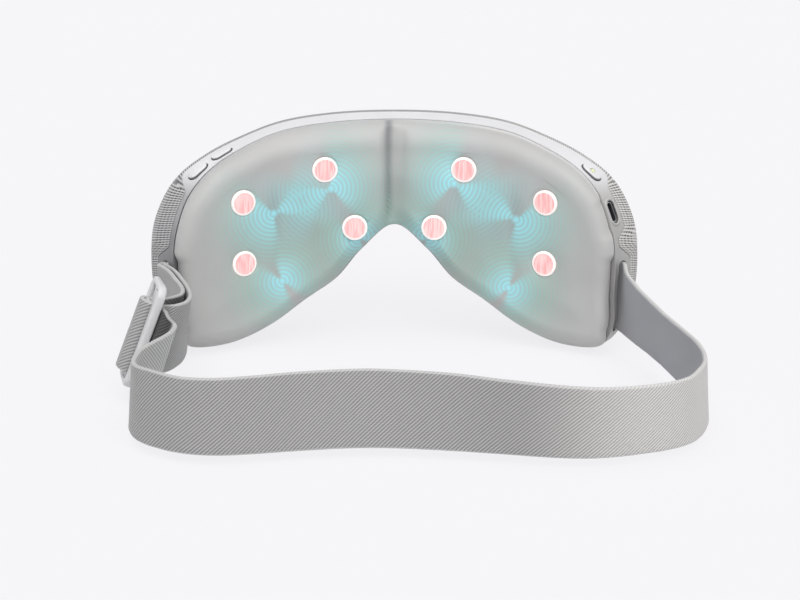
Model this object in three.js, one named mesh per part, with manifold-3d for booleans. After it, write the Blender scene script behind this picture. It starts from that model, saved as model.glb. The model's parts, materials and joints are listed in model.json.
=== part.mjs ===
// Heated eye massager goggles: a wrapped visor with a padded face side and a knit covered front,
// a head strap with a three-bar slider, and the heating, air and vibration parts inside.
// Millimetres, +X to the right seen from the face side, +Y away from the face, +Z up.
import * as THREE from 'three';
import { mergeVertices } from 'three/addons/utils/BufferGeometryUtils.js';
import Module from 'manifold-3d';

const wasm = await Module();
wasm.setup();

// Visor outline and its wrap round the face
const visorHalfWidth = 93;
const visorHeight = 92.4;
const wrapRadius = 151;
const rimY = 6;
const flare = 10.6;
const sideDepth = 16;
const frontRadius = 158;
const frontY = 35;
const frontRoll = 16;

// Half outline from the top centre to the nose: x, height and flare as shares
const outlineShares = [
  [0, 1, 0.06], [0.28, 0.99, 0.08], [0.52, 0.958, 0.11], [0.71, 0.885, 0.21],
  [0.844, 0.801, 0.4], [0.935, 0.687, 0.75], [0.984, 0.541, 0.97], [0.999, 0.4, 1],
  [0.996, 0.238, 0.95], [0.994, 0.1, 0.63], [0.934, -0.008, 0.27], [0.758, -0.023, 0.05],
  [0.581, 0.037, 0], [0.414, 0.149, 0], [0.269, 0.247, 0], [0.151, 0.383, 0], [0, 0.498, 0],
];
const flareCurveShare = 1.5;
const halfSpans = outlineShares.length - 1;
const outlineSpans = 2 * halfSpans;
const patchCornerStation = 6;

// Spine: the arch that the face side turns to, further in than its rim
const spineShares = [0.613, 0.758, 0.303];
const spineReach = spineShares[0] * visorHalfWidth;
const spineTop = spineShares[1] * visorHeight;
const spineDrop = spineShares[2] * visorHeight;

// Stations of the sections on the right half, closer where the outline turns
const stationShares = [
  0, 0.15, 1, 2, 3, 4, 4.5, 5, 5.5, 6, 6.5, 7, 8, 9, 9.5, 10, 10.5, 11, 11.5, 12, 13, 14, 15, 15.85, 16,
];

// Clearances and walls
const gap = 0.3;
const clothThick = 0.8;
const frameWall = 1.5;
const shellWall = 2;
const frameDepth = 14.5;
const flangeWidth = 11;
const flangeThick = 1.8;
const flangeRoot = 3.5;
const plateThick = 1.8;
const plateInset = 4.6;
const cutOverrun = 2;
const meshTolerance = 0.02;

// Rear edge of the knit cover, as a depth behind the face rim
const clothEdgeTop = 13.2;
const clothEdgeSide = 3.2;
const clothEdgePort = 7;
const clothEdgeSlot = 9.8;
const clothEdgeLow = 8;

// Cushion: insets and heights of its rounded side, then its crown
const cushionInset = 0.5;
const padInset = 2.3;
const padReach = 0.5;
const slotPadReach = 1.5;
const cushionRise = 12.3;
const cushionShoulder = 11;
const cushionSideShares = [[0, 0.24], [0.1, 0.53], [0.42, 0.83], [1, 1]];
const cushionCrown = 1.2;
const creaseDepth = 3.4;
const creaseWidth = 4.5;
const eyeHollow = 2.2;
const eyeHollowPlaceShares = [0.473, 0.509];
const eyeHollowX = eyeHollowPlaceShares[0] * visorHalfWidth;
const eyeHollowZ = eyeHollowPlaceShares[1] * visorHeight;
const eyeHollowReach = 17;

// Heat contacts
const contactDiameter = 10.8;
const contactThick = 2.6;
const contactPlaceShares = [[0.314, 0.792], [0.677, 0.663], [0.181, 0.516], [0.677, 0.379]];

// Heating film and air bag of one side
const bagWidthShares = [0.29, 0.742];
const bagHeightShares = [0.357, 0.714];
const [bagLeft, bagRight] = bagWidthShares.map((share) => share * visorHalfWidth);
const [bagLow, bagHigh] = bagHeightShares.map((share) => share * visorHeight);
const bagThick = 4.6;
const filmThick = 0.4;
const stemRadius = 1.6;
const stemX = 31.5;
const stemLength = 6;

// Housing screws, at stations of the outline
const screwStations = [1.35, 11.3, 13.4];
const screwInset = 7.8;
const screwRadius = 1.1;
const screwLength = 13;
const screwHeadRadius = 2;
const screwHeadThick = 0.9;
const bossRadius = 2.5;
const bossOverlap = 3;

// Strap, its slots and pins
const strapWidth = 30;
const strapThick = 1.8;
const slotStation = 8.07;
const slotDepth = 4.6;
const slotMouth = 5;
const slotEnd = 0.7;
const pinBack = 0.8;
const pinRadius = 1.5;
const pinOverhang = 3;
const earThick = 2.2;
const earWidth = 6.4;
const loopRoom = 0.5;
const loopSpread = 120;
const loopReach = 170;

// Slider
const sliderLength = 46;
const sliderThick = 2.2;
const barNear = 5;
const barMiddle = 3;
const barFar = 4.5;
const sliderWindow = 6;
const sliderRound = 5;
const windowEnd = 3;
const sliderPlaceShares = [-0.8025, -0.562, 0.833];
const sliderUpShares = [0.354, 0.085, 0.931];
const sliderAwayShares = [-0.26, 0.965, 0];
const strapOffCentreShare = 0.6;
const strapOffCentre = (sliderLength / 2 - windowEnd - strapWidth / 2) * strapOffCentreShare;

// Buttons
const buttonLength = 9.6;
const buttonWidth = 5.2;
const buttonProud = 0.9;
const buttonDepth = 5.8;
const buttonFlange = 1;
const buttonFlangeThick = 1;
const buttonTravel = 0.5;
const modeStation = 4.26;
const levelStation = 3.46;
const powerStation = 4.3;
const switchSize = 4.6;
const switchHeight = 2.4;
const nubRadius = 1.3;
const nubHeight = 0.6;
const boardThick = 1.2;
const shortBoardLength = 13;
const longBoardLength = 21;
const longBoardSink = 1.3;
const buttonBoardWidth = 7;
const pipeRadius = 0.9;

// Charging port
const portStation = 5.5;
const portDepth = 3.2;
const portLength = 9;
const portWidth = 3.4;
const portBody = 7.3;
const portWall = 0.4;
const portRecess = 0.6;
const tongueLength = 6.6;
const tongueThick = 0.7;
const tongueReach = 4.6;

// Boards, battery and motors on the inner plate
const boardLength = 42;
const boardHeight = 26;
const boardPlaceShares = [0.613, 0.541];
const boardStand = 5;
const postRadius = 2;
const postInset = 4;
const boardScrewHead = 1.7;
const boardScrewThick = 0.8;
const boardScrewShank = 0.8;
const boardScrewReach = 3;
const batteryLength = 42;
const batteryHeight = 28;
const batteryThick = 7;
const batteryPlaceShares = [-0.602, 0.541];
const shakerPlaceShares = [0.645, 0.227];
const shakerRadius = 3;
const shakerLength = 11;
const shakerShaft = 0.6;
const shakerShaftReach = 5;
const weightRadius = 2.8;
const weightLength = 4;
const cradleWall = 1.2;

// Air pump, valve and tubes
const pumpMotorRadius = 7;
const pumpMotorLength = 19;
const pumpMotorLeft = -25;
const pumpBodyLength = 14;
const pumpBodySize = 15;
const pumpWall = 1.6;
const pumpShaft = 0.8;
const crankRadius = 4;
const crankThick = 2;
const crankPinRadius = 0.9;
const crankPinOff = 2.3;
const crankPinLength = 3;
const pumpHeadLength = 4;
const nozzleRadius = 1.3;
const nozzleLength = 3;
const valveLength = 13;
const valveSize = 7.4;
const valveLeft = -8;
const valveBore = 1.7;
const valveBoreDepth = 7;
const plungerLength = 11;
const plungerRadius = 1.35;
const plungerHead = 2.6;
const plungerHeadThick = 0.8;
const plungerTravel = 1;
const springWire = 0.35;
const springTurns = 2;
const springSides = 4;
const springCorners = 6;
const tubeRadius = 1.4;
const crossRadius = 2;
const crossReach = 5;
const crossX = 21.5;
const crossLift = 5.8;
const crossRise = 3.4;
const ribbonThick = 0.4;
const ribbonWidth = 5;
const ribbonEndShares = [-0.624, 0.645];

// Small helpers
const vec = (x, y, z) => new THREE.Vector3(x, y, z);
const mix = (a, b, share) => a + (b - a) * share;
const wrapY = (x) => rimY - wrapRadius + Math.sqrt(wrapRadius ** 2 - x ** 2);
const frontFaceY = (x) => frontY - frontRadius + Math.sqrt(frontRadius ** 2 - x ** 2);

function toSolid(geometry) {
  const bare = geometry.clone();
  bare.deleteAttribute('normal');
  bare.deleteAttribute('uv');
  const merged = mergeVertices(bare, 1e-4);
  return new wasm.Manifold(new wasm.Mesh({
    numProp: 3,
    vertProperties: new Float32Array(merged.attributes.position.array),
    triVerts: new Uint32Array(merged.index.array),
  }));
}

function toGeometry(solid) {
  const mesh = solid.simplify(meshTolerance).getMesh();
  const geometry = new THREE.BufferGeometry();
  geometry.setAttribute('position', new THREE.BufferAttribute(mesh.vertProperties, mesh.numProp));
  geometry.setIndex(new THREE.BufferAttribute(mesh.triVerts, 1));
  geometry.computeVertexNormals();
  return geometry;
}

const join = (...shapes) => toGeometry(shapes.map(toSolid).reduce((a, b) => a.add(b)));
const carve = (shape, tools) => toGeometry(
  tools.map(toSolid).reduce((a, b) => a.subtract(b), toSolid(shape)),
);

// Geometry from points and triangles, turned so that its faces point out
function bodyFrom(points, triangles) {
  let volume = 0;
  for (const [a, b, c] of triangles) {
    volume += points[a].dot(vec(0, 0, 0).crossVectors(points[b], points[c]));
  }
  const index = triangles.flatMap(([a, b, c]) => (volume < 0 ? [a, c, b] : [a, b, c]));
  const geometry = new THREE.BufferGeometry();
  geometry.setAttribute('position', new THREE.Float32BufferAttribute(points.flatMap((p) => p.toArray()), 3));
  geometry.setIndex(index);
  geometry.computeVertexNormals();
  return geometry;
}

// Two triangles of a quad; the left and the right half are split the other way round
const split = (a, b, c, d, other) => (other ? [[a, b, d], [b, c, d]] : [[a, b, c], [a, c, d]]);

// Sections of equal length joined one to the next; a ring closes on its first section
function loft(sections, ring) {
  const sides = sections[0].length;
  const points = sections.flat();
  const triangles = [];
  const spans = ring ? sections.length : sections.length - 1;
  for (let i = 0; i < spans; i += 1) {
    const next = (i + 1) % sections.length;
    for (let k = 0; k < sides; k += 1) {
      const side = (k + 1) % sides;
      const [a, b, c, d] = [i * sides + k, i * sides + side, next * sides + side, next * sides + k];
      triangles.push(...split(a, b, c, d, ring && 2 * i >= sections.length));
    }
  }
  if (!ring) {
    const last = (sections.length - 1) * sides;
    for (let k = 1; k < sides - 1; k += 1) {
      triangles.push([0, k + 1, k]);
      triangles.push([last, last + k, last + k + 1]);
    }
  }
  return bodyFrom(points, triangles);
}

// Outline: a closed Catmull-Rom curve through the mirrored half outline
const halfOutline = outlineShares.map(([x, z, f]) => [x * visorHalfWidth, z * visorHeight, f * flare]);
const fullOutline = halfOutline.concat(
  halfOutline.slice(1, -1).reverse().map(([x, z, f]) => [-x, z, f]),
);

function outlineAt(station) {
  const turn = ((station % outlineSpans) + outlineSpans) % outlineSpans;
  const start = Math.floor(turn);
  const f = turn - start;
  const at = (i) => fullOutline[(start + i + outlineSpans) % outlineSpans];
  return [0, 1, 2].map((k) => {
    const [a, b, c, d] = [at(-1)[k], at(0)[k], at(1)[k], at(2)[k]];
    const rise = (c - a) / 2;
    const fall = (d - b) / 2;
    return b + rise * f + (3 * (c - b) - 2 * rise - fall) * f ** 2 + (2 * (b - c) + rise + fall) * f ** 3;
  });
}

const tinyStep = 0.02;

// Skin of the side wall: it flares out quickly behind the rim, then runs straight back
function skin(station, depth) {
  const [x, z, out] = outlineAt(station);
  const [ax, az] = outlineAt(station - tinyStep);
  const [bx, bz] = outlineAt(station + tinyStep);
  const run = Math.hypot(bx - ax, bz - az);
  const share = Math.min(Math.max(depth / sideDepth, 0), 1);
  const spread = out * (share * (2 - share)) ** flareCurveShare;
  return vec(x - ((bz - az) / run) * spread, wrapY(x) + depth, z + ((bx - ax) / run) * spread);
}

// Frame of the side wall: X along the outline, Y away from the face, Z out of the wall
function wallFrame(station, depth) {
  const along = skin(station + tinyStep, depth).sub(skin(station - tinyStep, depth)).normalize();
  const back = skin(station, depth + tinyStep).sub(skin(station, depth - tinyStep)).normalize();
  const out = vec(0, 0, 0).crossVectors(along, back).normalize();
  return new THREE.Matrix4()
    .makeBasis(along, vec(0, 0, 0).crossVectors(out, along), out)
    .setPosition(skin(station, depth));
}

const outward = (station, depth) => vec(0, 0, 0).setFromMatrixColumn(wallFrame(station, depth), 2);
const wall = (station, depth, inset) => skin(station, depth).addScaledVector(outward(station, depth), -inset);

// A point of the face side: inset square to the outline near the rim, turning to the spine further in
function face(station, inset, depth) {
  const [x, z] = outlineAt(station);
  const [ax, az] = outlineAt(station - tinyStep);
  const [bx, bz] = outlineAt(station + tinyStep);
  const run = Math.hypot(bx - ax, bz - az);
  const spineX = Math.max(-1, Math.min(1, x / visorHalfWidth)) * spineReach;
  const spineZ = spineTop - spineDrop * (spineX / spineReach) ** 2;
  const far = Math.hypot(spineX - x, spineZ - z);
  const turn = inset / frontRoll;
  const px = x + inset * mix((bz - az) / run, (spineX - x) / far, turn);
  const pz = z + inset * mix((ax - bx) / run, (spineZ - z) / far, turn);
  return vec(px, wrapY(px) + depth, pz);
}

// Stations right round, and the four corners of the patch across the last ring
const stations = stationShares.concat(stationShares.slice(1, -1).reverse().map((s) => outlineSpans - s));
const stationCount = stations.length;
const rightTop = stations.indexOf(patchCornerStation);
const rightLow = stations.indexOf(halfSpans - patchCornerStation);
const leftLow = stationCount - rightLow;
const leftTop = stationCount - rightTop;
const patchColumns = leftLow - rightLow;
const patchSideRows = rightLow - rightTop;

// Rings joined from the outside in, and a grid patch across the last ring
function sheet(rings, heightAt) {
  const points = rings.flat();
  const triangles = [];
  for (let r = 0; r < rings.length - 1; r += 1) {
    for (let k = 0; k < stationCount; k += 1) {
      const next = (k + 1) % stationCount;
      const [a, b] = [r * stationCount + k, r * stationCount + next];
      const [c, d] = [b + stationCount, a + stationCount];
      triangles.push(...split(a, b, c, d, 2 * k >= stationCount));
    }
  }
  const base = (rings.length - 1) * stationCount;
  const wrapped = (k) => base + ((k + stationCount) % stationCount);
  const [lowLeft, lowRight, highLeft, highRight] = [leftLow, rightLow, leftTop, rightTop]
    .map((k) => points[wrapped(k)]);
  const grid = [];
  for (let u = 0; u <= patchColumns; u += 1) {
    grid.push([]);
    for (let v = 0; v <= patchSideRows; v += 1) {
      const low = wrapped(leftLow - u);
      const high = wrapped(leftTop + u);
      const left = wrapped(leftLow + v);
      const right = wrapped(rightLow - v);
      if (v === 0) grid[u].push(low);
      else if (v === patchSideRows) grid[u].push(high);
      else if (u === 0) grid[u].push(left);
      else if (u === patchColumns) grid[u].push(right);
      else {
        const alongLow = (points[low].x - lowLeft.x) / (lowRight.x - lowLeft.x);
        const alongHigh = (points[high].x - highLeft.x) / (highRight.x - highLeft.x);
        const across = (alongLow + alongHigh) / 2;
        const rise = (points[left].z - lowLeft.z) / (highLeft.z - lowLeft.z);
        const p = vec(0, 0, 0)
          .addScaledVector(points[low], 1 - rise).addScaledVector(points[high], rise)
          .addScaledVector(points[left], 1 - across).addScaledVector(points[right], across)
          .addScaledVector(lowLeft, -(1 - across) * (1 - rise)).addScaledVector(lowRight, -across * (1 - rise))
          .addScaledVector(highLeft, -(1 - across) * rise).addScaledVector(highRight, -across * rise);
        if (heightAt) p.y = heightAt(p.x, p.z);
        points.push(p);
        grid[u].push(points.length - 1);
      }
    }
  }
  for (let u = 0; u < patchColumns; u += 1) {
    for (let v = 0; v < patchSideRows; v += 1) {
      const [a, b, c, d] = [grid[u][v], grid[u][v + 1], grid[u + 1][v + 1], grid[u + 1][v]];
      triangles.push(...split(a, b, c, d, 2 * u >= patchColumns));
    }
  }
  return { points, triangles };
}

// Two sheets made a closed body: joined at a shared first ring, or by a rim between the two
function closeSheets(one, two, sharedRing) {
  const shift = one.points.length;
  const points = one.points.concat(two.points);
  const triangles = one.triangles.concat(two.triangles.map(([a, b, c]) => [c + shift, b + shift, a + shift]));
  if (!sharedRing) {
    for (let k = 0; k < stationCount; k += 1) {
      const next = (k + 1) % stationCount;
      triangles.push([k, k + shift, next + shift], [k, next + shift, next]);
    }
  }
  const geometry = bodyFrom(points, triangles);
  return sharedRing ? toGeometry(toSolid(geometry)) : geometry;
}

// Rear edge of the knit cover at a station; the port is on the right side only
function clothEdge(station) {
  const side = station > halfSpans ? outlineSpans - station : station;
  const right = station < halfSpans;
  if (side < 4.9) return clothEdgeTop;
  if (side < 6.2) return right ? clothEdgePort : clothEdgeSide;
  if (side < 6.8) return clothEdgeSide;
  if (side < 9.6) return clothEdgeSlot;
  return clothEdgeLow;
}

// Rings of the outer skin from the cloth's edge over the round edge to the front face
const rollAngles = [30, 60, 90].map((degrees) => THREE.MathUtils.degToRad(degrees));

function rollPoint(station, angle) {
  const edge = skin(station, sideDepth);
  const inner = face(station, frontRoll, 0);
  inner.y = frontFaceY(inner.x);
  const across = 1 - Math.cos(angle);
  const up = Math.sin(angle);
  return vec(mix(edge.x, inner.x, across), mix(edge.y, inner.y, up), mix(edge.z, inner.z, across));
}

const midDepth = (station) => (clothEdge(station) + frameDepth) / 2;
const clothRows = [clothEdge, midDepth, () => frameDepth, () => sideDepth];
const skinRings = clothRows.map((row) => stations.map((s) => skin(s, row(s))))
  .concat(rollAngles.map((angle) => stations.map((s) => rollPoint(s, angle))));
const skinSheet = sheet(skinRings, frontFaceY);

// Outward directions: of the wall on the wall's rings, and of the sheet itself elsewhere
function sheetNormals(made) {
  const normals = made.points.map(() => vec(0, 0, 0));
  for (const [a, b, c] of made.triangles) {
    const ab = made.points[b].clone().sub(made.points[a]);
    const ac = made.points[c].clone().sub(made.points[a]);
    const n = vec(0, 0, 0).crossVectors(ab, ac);
    [a, b, c].forEach((k) => normals[k].add(n));
  }
  normals.forEach((n) => n.normalize());
  const turned = normals[normals.length - 1].y < 0 ? -1 : 1;
  normals.forEach((n) => n.multiplyScalar(turned));
  clothRows.slice(0, -1).forEach((row, r) => stations.forEach((s, k) => {
    normals[r * stationCount + k].copy(outward(s, row(s)));
  }));
  return normals;
}
const skinNormals = sheetNormals(skinSheet);

const insetSheet = (inset, firstRing) => {
  const kept = skinSheet.points.map((p, i) => p.clone().addScaledVector(skinNormals[i], -inset));
  if (!firstRing) return { points: kept, triangles: skinSheet.triangles };
  const drop = firstRing.row * stationCount;
  firstRing.points.forEach((p, k) => kept[drop + k].copy(p));
  return {
    points: kept.slice(drop),
    triangles: skinSheet.triangles
      .filter((t) => Math.min(...t) >= drop)
      .map((t) => t.map((i) => i - drop)),
  };
};

// Bent block: follows the wrap of the face between two depths
function bentBlock(left, right, low, high, near, far, columns) {
  const block = new THREE.BoxGeometry(right - left, far - near, high - low, columns, 1, 1);
  block.translate((left + right) / 2, (near + far) / 2, (low + high) / 2);
  const place = block.attributes.position;
  for (let i = 0; i < place.count; i += 1) place.setY(i, place.getY(i) + wrapY(place.getX(i)));
  block.computeVertexNormals();
  return block;
}

// Frame on the wrap: X to the left, Y up, Z away from the face
function wrapFrame(x, z, depth) {
  const turn = Math.asin(x / wrapRadius);
  const out = vec(Math.sin(turn), Math.cos(turn), 0);
  return new THREE.Matrix4()
    .makeBasis(vec(-Math.cos(turn), Math.sin(turn), 0), vec(0, 0, 1), out)
    .setPosition(vec(x, wrapY(x), z).addScaledVector(out, depth));
}

const placeFrame = ([x, z], depth) => wrapFrame(x * visorHalfWidth, z * visorHeight, depth);
const placed = (shape, matrix) => shape.clone().applyMatrix4(matrix);
const roundSides = 14;

function disc(radius, low, high, sides = roundSides) {
  return new THREE.CylinderGeometry(radius, radius, high - low, sides)
    .rotateX(Math.PI / 2).translate(0, 0, (low + high) / 2);
}

function block(length, width, low, high) {
  return new THREE.BoxGeometry(length, width, high - low).translate(0, 0, (low + high) / 2);
}

function pill(length, width, low, high) {
  const r = width / 2;
  const run = length / 2 - r;
  const shape = new THREE.Shape();
  shape.moveTo(-run, -r);
  shape.lineTo(run, -r);
  shape.absarc(run, 0, r, -Math.PI / 2, Math.PI / 2, false);
  shape.lineTo(-run, r);
  shape.absarc(-run, 0, r, Math.PI / 2, Math.PI * 1.5, false);
  return new THREE.ExtrudeGeometry(shape, { depth: high - low, bevelEnabled: false, curveSegments: 4 })
    .translate(0, 0, low);
}

const alongX = (shape) => shape.clone().rotateY(Math.PI / 2);

function tube(points, radius, sides, steps) {
  const shape = new THREE.Shape();
  shape.absarc(0, 0, radius, 0, Math.PI * 2, false);
  const path = new THREE.CatmullRomCurve3(points);
  return new THREE.ExtrudeGeometry(shape, {
    steps, extrudePath: path, curveSegments: sides, bevelEnabled: false,
  });
}

// Materials
const finish = (color, roughness, metalness = 0) => (
  new THREE.MeshStandardMaterial({ color, roughness, metalness })
);
const looks = {
  plastic: finish(0xe2e1e4, 0.5),
  knit: finish(0xa9a7a6, 0.95),
  cushion: finish(0xb4b4b2, 0.6),
  contact: finish(0xf0a9a6, 0.55),
  strap: finish(0xa8a6a4, 0.9),
  slider: finish(0xd4d4d4, 0.35),
  inner: finish(0xd9d9d6, 0.6),
  steel: finish(0x9a9ca0, 0.35, 0.9),
  board: finish(0x2f6b46, 0.6),
  dark: finish(0x2b2c2f, 0.6),
  film: finish(0x3a3230, 0.5),
  bag: finish(0xc9c6bd, 0.7),
  battery: finish(0xb9bcc2, 0.45, 0.3),
  rubber: finish(0x8d8f92, 0.8),
  light: finish(0xd8ee6a, 0.3),
  copper: finish(0xb87a4b, 0.4, 0.8),
};

const goggles = new THREE.Group();

function add(name, geometry, look, frame, parent = goggles) {
  const mesh = new THREE.Mesh(geometry, look);
  mesh.name = name;
  if (frame) mesh.applyMatrix4(frame);
  parent.add(mesh);
  return mesh;
}

// Frames of the slots, buttons, port and screws
const sides = [
  { name: 'right', sign: 1, slot: slotStation },
  { name: 'left', sign: -1, slot: outlineSpans - slotStation },
];
const slotHalf = strapWidth / 2 + slotEnd;
const innerWall = clothThick + gap + frameWall;
const pinSink = innerWall + gap + strapThick + gap + pinRadius;
const earReach = pinSink + 2 * pinRadius - innerWall;
const slotFrames = Object.fromEntries(sides.map(({ name, slot }) => [name, wallFrame(slot, slotDepth)]));
const buttons = [
  { name: 'mode', station: outlineSpans - modeStation },
  { name: 'level', station: outlineSpans - levelStation },
  { name: 'power', station: powerStation },
].map((b) => ({ ...b, frame: wallFrame(b.station, buttonDepth) }));
const portFrame = wallFrame(portStation, portDepth);
const screwFrames = sides.flatMap(({ name, sign }) => screwStations.map((s, i) => {
  const place = face(sign > 0 ? s : outlineSpans - s, screwInset, 0);
  return { name: `housing_screw_${name}_${i + 1}`, frame: wrapFrame(place.x, place.z, 0) };
}));
const plateBack = flangeThick + gap;
const plateFront = plateBack + plateThick;

// Heights of the air parts, from the nose arch upwards, and of the ribbon above them
const noseZ = outlineAt(halfSpans)[1];
const valveZ = noseZ + innerWall + gap + valveSize / 2;
const crossZ = valveZ + crossLift;
const pumpZ = crossZ + tubeRadius + 2 * gap + pumpBodySize / 2;
const ribbonZ = pumpZ + (pumpBodySize + ribbonWidth) / 2 + gap;
const loopRadius = pinRadius + gap + strapThick / 2;
const loopReachOut = loopRadius + strapThick / 2 + loopRoom;

// Room for the strap's loop, the pin and its ears, seen in the frame of a slot
const loopSpace = (halfLength) => sides.map(({ name }) => placed(
  new THREE.BoxGeometry(2 * halfLength, 2 * loopReachOut, pinSink + loopReachOut - innerWall)
    .translate(0, pinBack, -(pinSink + loopReachOut + innerWall) / 2),
  slotFrames[name],
));

// Heights under a button, and the boards that carry the switches
const buttonBack = innerWall + gap;
const buttonLow = -buttonBack - buttonFlangeThick;
const switchTop = buttonLow - buttonTravel - gap / 2;
const boardTop = switchTop - nubHeight - switchHeight - gap;
const betweenButtons = outlineSpans - (modeStation + levelStation) / 2;
const buttonBoards = [
  { name: 'left_button_board', length: longBoardLength, sink: longBoardSink, station: betweenButtons },
  { name: 'right_button_board', length: shortBoardLength, sink: 0, station: powerStation },
].map((b) => ({ ...b, frame: wallFrame(b.station, buttonDepth) }));

// Room for the port through the frame and the plate
const portSpace = placed(
  pill(portLength + 2 * gap, portWidth + 2 * gap, -portBody - portRecess - 2 * gap, cutOverrun), portFrame,
);

// Mid frame: a ring of one section, with slots, button holes, the port and screw holes
function midFrame() {
  const step = clothThick + gap;
  const sections = stations.map((s) => {
    const edge = clothEdge(s) - gap;
    return [
      wall(s, 0, 0), wall(s, edge / 2, 0), wall(s, edge, 0), wall(s, edge, step),
      wall(s, midDepth(s), step), wall(s, frameDepth, step),
      wall(s, frameDepth, innerWall), wall(s, midDepth(s), innerWall), wall(s, flangeThick, innerWall),
      face(s, flangeRoot, flangeThick), face(s, flangeWidth, flangeThick), face(s, flangeWidth, 0),
    ];
  });
  const ears = sides.flatMap(({ name }) => [-1, 1].map((end) => placed(
    new THREE.BoxGeometry(earThick, earWidth, earReach)
      .translate(end * (slotHalf + earThick / 2), pinBack, -innerWall + gap - earReach / 2),
    slotFrames[name],
  )));
  const slots = sides.map(({ name }) => placed(
    block(2 * slotHalf, slotMouth, -innerWall - cutOverrun, cutOverrun), slotFrames[name],
  ));
  const pinReach = slotHalf + pinOverhang;
  const pinHoles = sides.map(({ name }) => placed(
    alongX(disc(pinRadius + gap, -pinReach, pinReach)).translate(0, pinBack, -pinSink),
    slotFrames[name],
  ));
  const buttonHoles = buttons.flatMap(({ frame }) => [
    placed(pill(buttonLength + 2 * gap, buttonWidth + 2 * gap, -innerWall - cutOverrun, cutOverrun), frame),
    placed(block(
      buttonLength + 2 * buttonFlange + 2 * gap, buttonWidth + 2 * buttonFlange + 2 * gap,
      -innerWall - 2 * cutOverrun, -innerWall,
    ), frame),
  ]);
  const screwHoles = screwFrames.flatMap(({ frame }) => [
    placed(disc(screwRadius + gap, -cutOverrun, plateBack), frame),
    placed(disc(screwHeadRadius + gap, -cutOverrun, screwHeadThick + gap / 2), frame),
  ]);
  const ring = join(carve(loft(sections, true), loopSpace(slotHalf)), ...ears);
  return carve(ring, [...slots, ...pinHoles, ...buttonHoles, portSpace, ...screwHoles]);
}

// Front shell: from the frame's front edge over the front, with a boss for each screw
function frontShell() {
  const step = clothThick + gap;
  const rim = (inset) => ({ row: 2, points: stations.map((s) => wall(s, frameDepth + gap, inset)) });
  const outer = insetSheet(step, rim(step));
  const inner = insetSheet(step + shellWall, rim(step + shellWall));
  const middle = insetSheet(step + shellWall / 2, rim(step + shellWall / 2));
  const inside = toSolid(closeSheets(middle, sheet([middle.points.slice(0, stationCount)]), true));
  const tall = disc(bossRadius, plateFront + gap, frontY, 12);
  const short = disc(bossRadius, plateFront + gap, frameDepth + bossOverlap, 12);
  const bosses = screwFrames.flatMap(({ frame }) => [
    toGeometry(toSolid(placed(tall, frame)).intersect(inside)), placed(short, frame),
  ]);
  const bore = disc(screwRadius + gap, plateFront, screwLength, 8);
  const bores = screwFrames.map(({ frame }) => placed(bore, frame));
  return carve(join(closeSheets(outer, inner), ...bosses), bores);
}

// Cushion: rounded side, crown with a central crease and eye hollows, pockets behind
function cushionHeight(x, z) {
  const crease = creaseDepth * Math.exp(-((x / creaseWidth) ** 2));
  const eye = Math.hypot((Math.abs(x) - eyeHollowX) / eyeHollowReach, (z - eyeHollowZ) / eyeHollowReach);
  return wrapY(x) - cushionRise - cushionCrown + crease + eyeHollow * Math.exp(-(eye ** 2));
}

function cushionFrame(x, z) {
  const slopeX = (cushionHeight(x + tinyStep, z) - cushionHeight(x - tinyStep, z)) / (2 * tinyStep);
  const slopeZ = (cushionHeight(x, z + tinyStep) - cushionHeight(x, z - tinyStep)) / (2 * tinyStep);
  const into = vec(-slopeX, 1, -slopeZ).normalize();
  const across = vec(-1, -slopeX, 0).normalize();
  return new THREE.Matrix4()
    .makeBasis(across, vec(0, 0, 0).crossVectors(into, across), into)
    .setPosition(x, cushionHeight(x, z), z);
}

const contactFrames = sides.flatMap(({ name, sign }) => contactPlaceShares.map(([x, z], i) => ({
  name: `heat_contact_${name}_${i + 1}`,
  frame: cushionFrame(sign * x * visorHalfWidth, z * visorHeight),
})));

const pocketDepth = bagThick + 3 * gap + filmThick;

// The cushion steps back from the pads of the port and of the slots
function rimInset(station) {
  const side = Math.min(station, outlineSpans - station);
  const atPort = station < halfSpans && Math.abs(station - portStation) < padReach;
  return cushionInset + (atPort || Math.abs(side - slotStation) < slotPadReach ? padInset : 0);
}

function cushion() {
  const backRim = flangeWidth + 2 * gap;
  const seat = plateBack - gap;
  const lift = 2 * gap;
  const first = stations.map((s) => face(s, rimInset(s), -lift));
  const crownInset = cushionInset + cushionShoulder;
  const outer = sheet([first, ...cushionSideShares.map(([across, up]) => stations.map(
    (s) => face(s, mix(rimInset(s), crownInset, across), -lift - up * (cushionRise - lift)),
  ))], cushionHeight);
  const back = sheet([
    first, stations.map((s) => face(s, backRim, -lift)), stations.map((s) => face(s, backRim, seat)),
  ], (x) => wrapY(x) + seat);
  const pockets = sides.map(({ sign }) => bentBlock(
    Math.min(sign * (bagLeft - gap), sign * (bagRight + gap)),
    Math.max(sign * (bagLeft - gap), sign * (bagRight + gap)),
    bagLow - gap, bagHigh + gap, seat - pocketDepth - gap, seat + cutOverrun, 6,
  ));
  const seats = contactFrames.map(({ frame }) => placed(
    disc(contactDiameter / 2 + gap, -cutOverrun, contactThick + gap), frame,
  ));
  return carve(closeSheets(outer, back, true), [...pockets, ...seats]);
}

// Inner plate: follows the wrap, with posts for the board, cradles for the motors, holes for stems
const shakerFrames = sides.map(({ name, sign }) => ({
  name,
  sign,
  frame: placeFrame([sign * shakerPlaceShares[0], shakerPlaceShares[1]], plateFront + gap + cradleWall + shakerRadius),
}));
const boardFrame = placeFrame(boardPlaceShares, plateFront + boardStand);
const postPlaces = [[-1, -1], [1, -1], [-1, 1], [1, 1]].map(([u, v]) => [
  u * (boardLength / 2 - postInset), v * (boardHeight / 2 - postInset),
]);

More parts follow.
